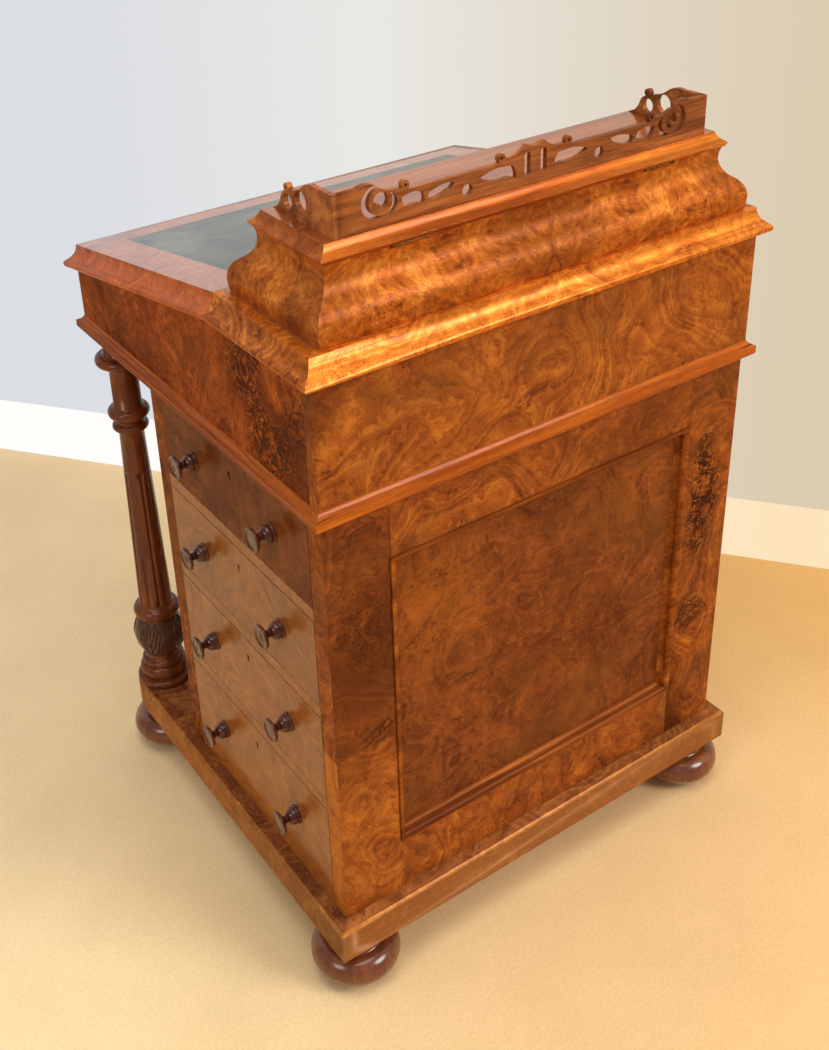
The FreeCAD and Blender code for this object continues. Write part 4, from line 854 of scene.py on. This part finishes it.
def addRidge(built, path, thickness, profile, look):
    bottom, top, heights, radii = profile[1:]
    leafAngle = math.pi / look["leaves"]
    turns = [2 * math.pi * corner / look["sides"] for corner in range(look["sides"])]
    places = []
    for x, y in path:
        height = bottom + min(1.0, max(0.0, y)) * (top - bottom)
        radius = float(np.interp(height, heights, radii))
        angle = x * leafAngle
        out = Vector((math.cos(angle), math.sin(angle), 0))
        places.append((out * radius + Vector((0, 0, height)), out))
    rings = []
    for index, (place, out) in enumerate(places):
        before, after = places[max(0, index - 1)][0], places[min(len(places) - 1, index + 1)][0]
        along = (after - before).normalized()
        across = along.cross(out).normalized()
        up = across.cross(along).normalized()
        share = index / (len(places) - 1)
        # a rib is fullest a third of the way along, and thinnest at its far end
        width = thickness * (0.35 + 0.65 * math.sin(math.pi * min(1.0, 0.25 + share * 0.75)))
        middle = place - up * (width * look["sink"])
        rings.append([built.verts.new(middle + (across * math.cos(turn) + up * math.sin(turn)) * width)
                      for turn in turns])
    for first, second in zip(rings, rings[1:]):
        for corner in range(look["sides"]):
            built.faces.new((first[corner - 1], first[corner], second[corner], second[corner - 1]))
    built.faces.new(rings[0][::-1])
    built.faces.new(rings[-1])


def leafMesh(name, profile, look):
    built = bmesh.new()
    spine = [(0.0, y) for y in np.linspace(*look["spine"], look["spineSteps"])]
    addRidge(built, spine, look["rib"], profile, look)
    for spec in look["scrolls"]:
        for side in (-1, 1):
            addRidge(built, scrollPath(spec, side, look), look["rib"] * look["scrollRib"], profile, look)
    bmesh.ops.recalc_face_normals(built, faces=built.faces)
    return meshFrom(built, name)


def openRepeat(name, **placing):
    tree = bpy.data.node_groups.new(name, "GeometryNodeTree")
    addSockets(tree, "INPUT", {"Geometry": "Geometry", "Count": "Int", **placing, "Material": "Material"})
    addSockets(tree, "OUTPUT", {"Geometry": "Geometry"})
    return tree, tree.nodes.new("NodeGroupInput").outputs


def closeRepeat(tree, given, points, **turning):
    copies = addNode(tree, "GeometryNodeInstanceOnPoints",
                     {"Points": points.outputs[0], "Instance": given["Geometry"], **turning})
    joined = addNode(tree, "GeometryNodeRealizeInstances", {0: copies.outputs[0]})
    finished = addNode(tree, "GeometryNodeSetMaterial", {0: joined.outputs[0], "Material": given["Material"]})
    tree.links.new(finished.outputs[0], tree.nodes.new("NodeGroupOutput").inputs[0])
    return tree


def makeRoundRepeat():
    tree, given = openRepeat("round repeat", Turn="Float", Centre="Vector")
    points = addNode(tree, "GeometryNodePoints", {"Count": given["Count"], "Position": given["Centre"]})
    index = tree.nodes.new("GeometryNodeInputIndex").outputs[0]
    step = calc(tree, "DIVIDE", 2 * math.pi, given["Count"])
    angle = timesPlus(tree, index, step, given["Turn"])
    return closeRepeat(tree, given, points, Rotation=addNode(tree, "ShaderNodeCombineXYZ", {"Z": angle}).outputs[0])


def repeated(name, mesh, tree, values):
    # the mesh that a tree of geometry nodes makes of one piece, with the tree's inputs set by name
    holder = linked(name, mesh)
    modifier = holder.modifiers.new("repeat", "NODES")
    modifier.node_group = tree
    for item in tree.interface.items_tree:
        if item.in_out == "INPUT" and item.name in values:
            modifier[item.identifier] = values[item.name]
    bpy.context.view_layer.update()
    made = bpy.data.meshes.new_from_object(holder.evaluated_get(bpy.context.evaluated_depsgraph_get()))
    made.name = name
    bpy.data.objects.remove(holder)
    return made


def layPlainSpots(mesh, tone):
    count = len(mesh.vertices)
    layValues(mesh, "POINT", spot=pointsOf(mesh), tone=np.full(count, tone), wear=np.zeros(count))


roundRepeat = makeRoundRepeat()
for side in ("left", "right"):
    profile = ballProfile("pillar_" + side, carvingLook)
    leaf = leafMesh("leaf." + side, profile, carvingLook)
    mesh = repeated("carving." + side, leaf, roundRepeat, {
        "Count": carvingLook["leaves"], "Turn": math.radians(carvingLook["turn"]), "Centre": tuple(profile[0]),
        "Material": carved})
    layPlainSpots(mesh, 0.0)
    addPiece("carving." + side, mesh, carved, "carcass")
print("pillars carved")


# dovetails at the front corners of the drawers

dovetailLook = dict(lap=0.0125, pitch=0.019, share=0.62, splay=0.0018, proud=0.00008, thickness=0.0004, tone=0.06)


def makeRowRepeat():
    tree, given = openRepeat("row repeat", Start="Vector", Step="Vector")
    placing = {"Count": given["Count"], "Start Location": given["Start"], "Offset": given["Step"]}
    line = addNode(tree, "GeometryNodeMeshLine", placing, mode="OFFSET")
    return closeRepeat(tree, given, line)


def tailMesh(name, look, side):
    # one tail, its root at x = 0 and its wide end toward the face of the front
    half = look["pitch"] * look["share"] / 2
    corners = [(0, -half), (look["lap"], -half - look["splay"]), (look["lap"], half + look["splay"]), (0, half)]
    near, far = -side * look["thickness"], side * look["proud"]
    points = [(x, y, z) for y in (near, far) for x, z in corners]
    faces = [(0, 1, 2, 3), (7, 6, 5, 4)] + [(k, 4 + k, 4 + (k + 1) % 4, (k + 1) % 4) for k in range(4)]
    built = bmesh.new()
    vertices = [built.verts.new(point) for point in points]
    for face in faces:
        built.faces.new([vertices[k] for k in face])
    bmesh.ops.recalc_face_normals(built, faces=built.faces)
    return meshFrom(built, name, smooth=False)


rowRepeat = makeRowRepeat()
for number in drawerShadeTones:
    frontLow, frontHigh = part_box(f"drawer_front_{number}")
    trayLow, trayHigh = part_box(f"drawer_box_{number}")
    height = trayHigh.z - trayLow.z
    count = int(height / dovetailLook["pitch"])
    step = height / count
    for label, side, y in (("near", -1, trayLow.y), ("far", 1, trayHigh.y)):
        name = f"dovetails.{number}.{label}"
        mesh = repeated(name, tailMesh("tail", dovetailLook, side), rowRepeat, {
            "Count": count, "Start": (frontLow.x, y, trayLow.z + step / 2), "Step": (0, 0, step), "Material": lining})
        layPlainSpots(mesh, dovetailLook["tone"])
        addPiece(name, mesh, lining, f"drawer_{number}")
print("dovetails laid")


# leather

leatherLow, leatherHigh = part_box("writing_leather")
leatherSheet = leatherLook["sheet"]
run = leatherHigh.y - leatherLow.y
slopeTilt = math.atan2(leatherHigh.z - leatherLow.z - leatherSheet, run)
leatherMiddle = Vector((0, (leatherLow.y + leatherHigh.y) / 2, (leatherLow.z + leatherHigh.z + leatherSheet) / 2))
leatherHalf = (leatherHigh.x, run / 2 / math.cos(slopeTilt))
skiverFinish = skiver("green skiver", leatherLook, leatherHalf, leatherMiddle, slopeTilt)
leatherNode = nodes["writing_leather"]
leatherNode.data.materials.clear()
leatherNode.data.materials.append(skiverFinish)
print("leather laid")


# stage

stageLook = dict(
    wallNormal=(0.786, 0.618), wallDistance=-0.545, reach=6.0, wallHeight=4.0,
    skirtingHeight=0.095, skirtingDepth=0.016, skirtingBevel=0.014,
    # colours from the window's side to the far one, painted light: cool by the window and warmer and darker away from
    # it
    wall=[(0.71, 0.73, 0.77), (0.82, 0.81, 0.78), (0.72, 0.6, 0.43)],
    skirting=[(1.0, 0.99, 0.96), (1.0, 0.93, 0.8), (0.99, 0.77, 0.5)],
    carpet=[(0.93, 0.72, 0.45), (1.0, 0.77, 0.43), (0.86, 0.58, 0.285)], carpetFarShade=(0.78, 0.49, 0.18),
)


def stagePlane(name, corners, material):
    mesh = bpy.data.meshes.new(name)
    mesh.from_pydata(corners, [], [tuple(range(len(corners)))])
    mesh.materials.append(material)
    plane = linked(name, mesh)
    return plane


def oneSided(tree, shader):
    # seen from behind, a wall of the stage is clear
    output = next(node for node in tree.nodes if node.type == "OUTPUT_MATERIAL")
    clear = addNode(tree, "ShaderNodeBsdfTransparent")
    back = addNode(tree, "ShaderNodeNewGeometry").outputs["Backfacing"]
    both = addNode(tree, "ShaderNodeMixShader", {0: back, 1: shader, 2: clear.outputs[0]})
    tree.links.new(both.outputs[0], output.inputs["Surface"])


def distanceAlong(tree, way):
    return addNode(tree, "ShaderNodeVectorMath", {0: objectPlace(tree), 1: tuple(way)},
                   operation="DOT_PRODUCT").outputs["Value"]


def paintedLightAlong(tree, colours, way):
    # painted light: the colour ramps from the window's side to the far one
    near, far, places = -0.9, 0.7, (0.02, 0.4, 0.92)
    stops = [(place, *colour) for place, colour in zip(places, colours)]
    return ramp(tree, spread(tree, distanceAlong(tree, way), near, far), stops)


def wallPaintWithPaintedGlow(name, colours, along):
    # painted light: cool on the window's side and warmer away from it; seen directly or in the polish it glows with
    # this colour, a painted glow that is no lamp
    material, tree, shader = newMaterial(name)
    colour = paintedLightAlong(tree, colours, along)
    feed(tree, shader.inputs, {"Base Color": colour, "Roughness": 0.9})
    glow = addNode(tree, "ShaderNodeEmission", {"Color": colour, "Strength": 1.0})
    ray = tree.nodes.new("ShaderNodeLightPath").outputs
    seen = calc(tree, "MAXIMUM", ray["Is Camera Ray"], ray["Is Glossy Ray"])
    shown = addNode(tree, "ShaderNodeMixShader", {0: seen, 1: shader.outputs[0], 2: glow.outputs[0]})
    oneSided(tree, shown.outputs[0])
    return material


def carpetFinish(name, look, along, out):
    material, tree, shader = newMaterial(name)
    place = objectPlace(tree)
    pile = cloudy(tree, place, 260.0, 4.0, 0.7)
    # painted light: the carpet turns warmer and darker away from the window
    colour = paintedLightAlong(tree, look["carpet"], along)
    # painted shade: by the wall, away from the window, it is browner
    far = product(tree, spread(tree, distanceAlong(tree, out), -0.45, 0.0, 1.0, 0.0),
                  spread(tree, distanceAlong(tree, along), -0.3, 0.4))
    colour = blendColour(tree, far, colour, look["carpetFarShade"])
    trodden = spread(tree, cloudy(tree, place, 7.0, 4.0, 0.6), 0.3, 0.7, 0.94, 1.0)
    tuft = spread(tree, pile, 0.34, 0.62, 0.94, 1.02)
    shade = product(tree, trodden, tuft)
    grey = addNode(tree, "ShaderNodeCombineXYZ", {0: shade, 1: shade, 2: calc(tree, "POWER", shade, 1.4)}).outputs[0]
    feed(tree, shader.inputs, {
        "Base Color": blendColour(tree, 1.0, colour, grey, "MULTIPLY"), "Roughness": 0.95,
        "Normal": bumped(tree, pile, 0.002, 0.35),
    })
    oneSided(tree, shader.outputs[0])
    return material


def buildStage(look):
    reach = look["reach"]
    normal = Vector((*look["wallNormal"], 0)).normalized()
    way = Vector((-normal.y, normal.x, 0))
    corners = [(-reach, -reach, 0), (reach, -reach, 0), (reach, reach, 0), (-reach, reach, 0)]
    stagePlane("floor", corners, carpetFinish("carpet", look, way, normal))
    along = way * reach
    foot = normal * look["wallDistance"]
    front = foot + normal * look["skirtingDepth"]
    up = Vector((0, 0, 1))
    high = up * look["skirtingHeight"]
    step = high - up * look["skirtingBevel"]
    top = up * look["wallHeight"]
    matt = wallPaintWithPaintedGlow("wall paint with painted glow", look["wall"], way)
    gloss = wallPaintWithPaintedGlow("skirting paint with painted glow", look["skirting"], way)
    bands = (("wall", foot, foot + top, matt), ("skirting", front, front + step, gloss),
             ("skirting.ledge", front + step, foot + high, gloss))
    for name, low, upper, material in bands:
        board = stagePlane(name, [low - along, low + along, upper + along, upper - along], material)
        board.visible_shadow = False


buildStage(stageLook)


# light

lightLook = dict(
    world=(1.0, 1.0, 1.0), worldStrength=0.34, aim=(0, 0, 0.45),
    lamps=[
        dict(name="window", place=(-1.5, 2.7, 2.6), size=1.6, power=72, colour=(1.0, 0.97, 0.92)),
        dict(name="second window", place=(2.2, 0.6, 1.7), size=1.0, power=12, colour=(1.0, 0.97, 0.93)),
        dict(name="ceiling", place=(0.3, 0.3, 2.7), size=2.0, power=30, colour=(1.0, 0.97, 0.93)),
    ],
)


def lightScene(look):
    world = bpy.data.worlds.new("studio")
    bpy.context.scene.world = world
    world.use_nodes = True
    feed(world.node_tree, world.node_tree.nodes["Background"].inputs,
         {"Color": opaque(look["world"]), "Strength": look["worldStrength"]})
    for lamp in look["lamps"]:
        data = bpy.data.lights.new(lamp["name"], "AREA")
        data.shape = "DISK"
        data.size = lamp["size"]
        data.energy = lamp["power"]
        data.color = lamp["colour"]
        holder = linked(lamp["name"], data)
        holder.location = lamp["place"]
        holder.rotation_euler = (Vector(look["aim"]) - Vector(lamp["place"])).to_track_quat("-Z", "Y").to_euler()
        holder.visible_camera = False


lightScene(lightLook)
bpy.context.scene.view_settings.view_transform = "Standard"
print("stage and light set")
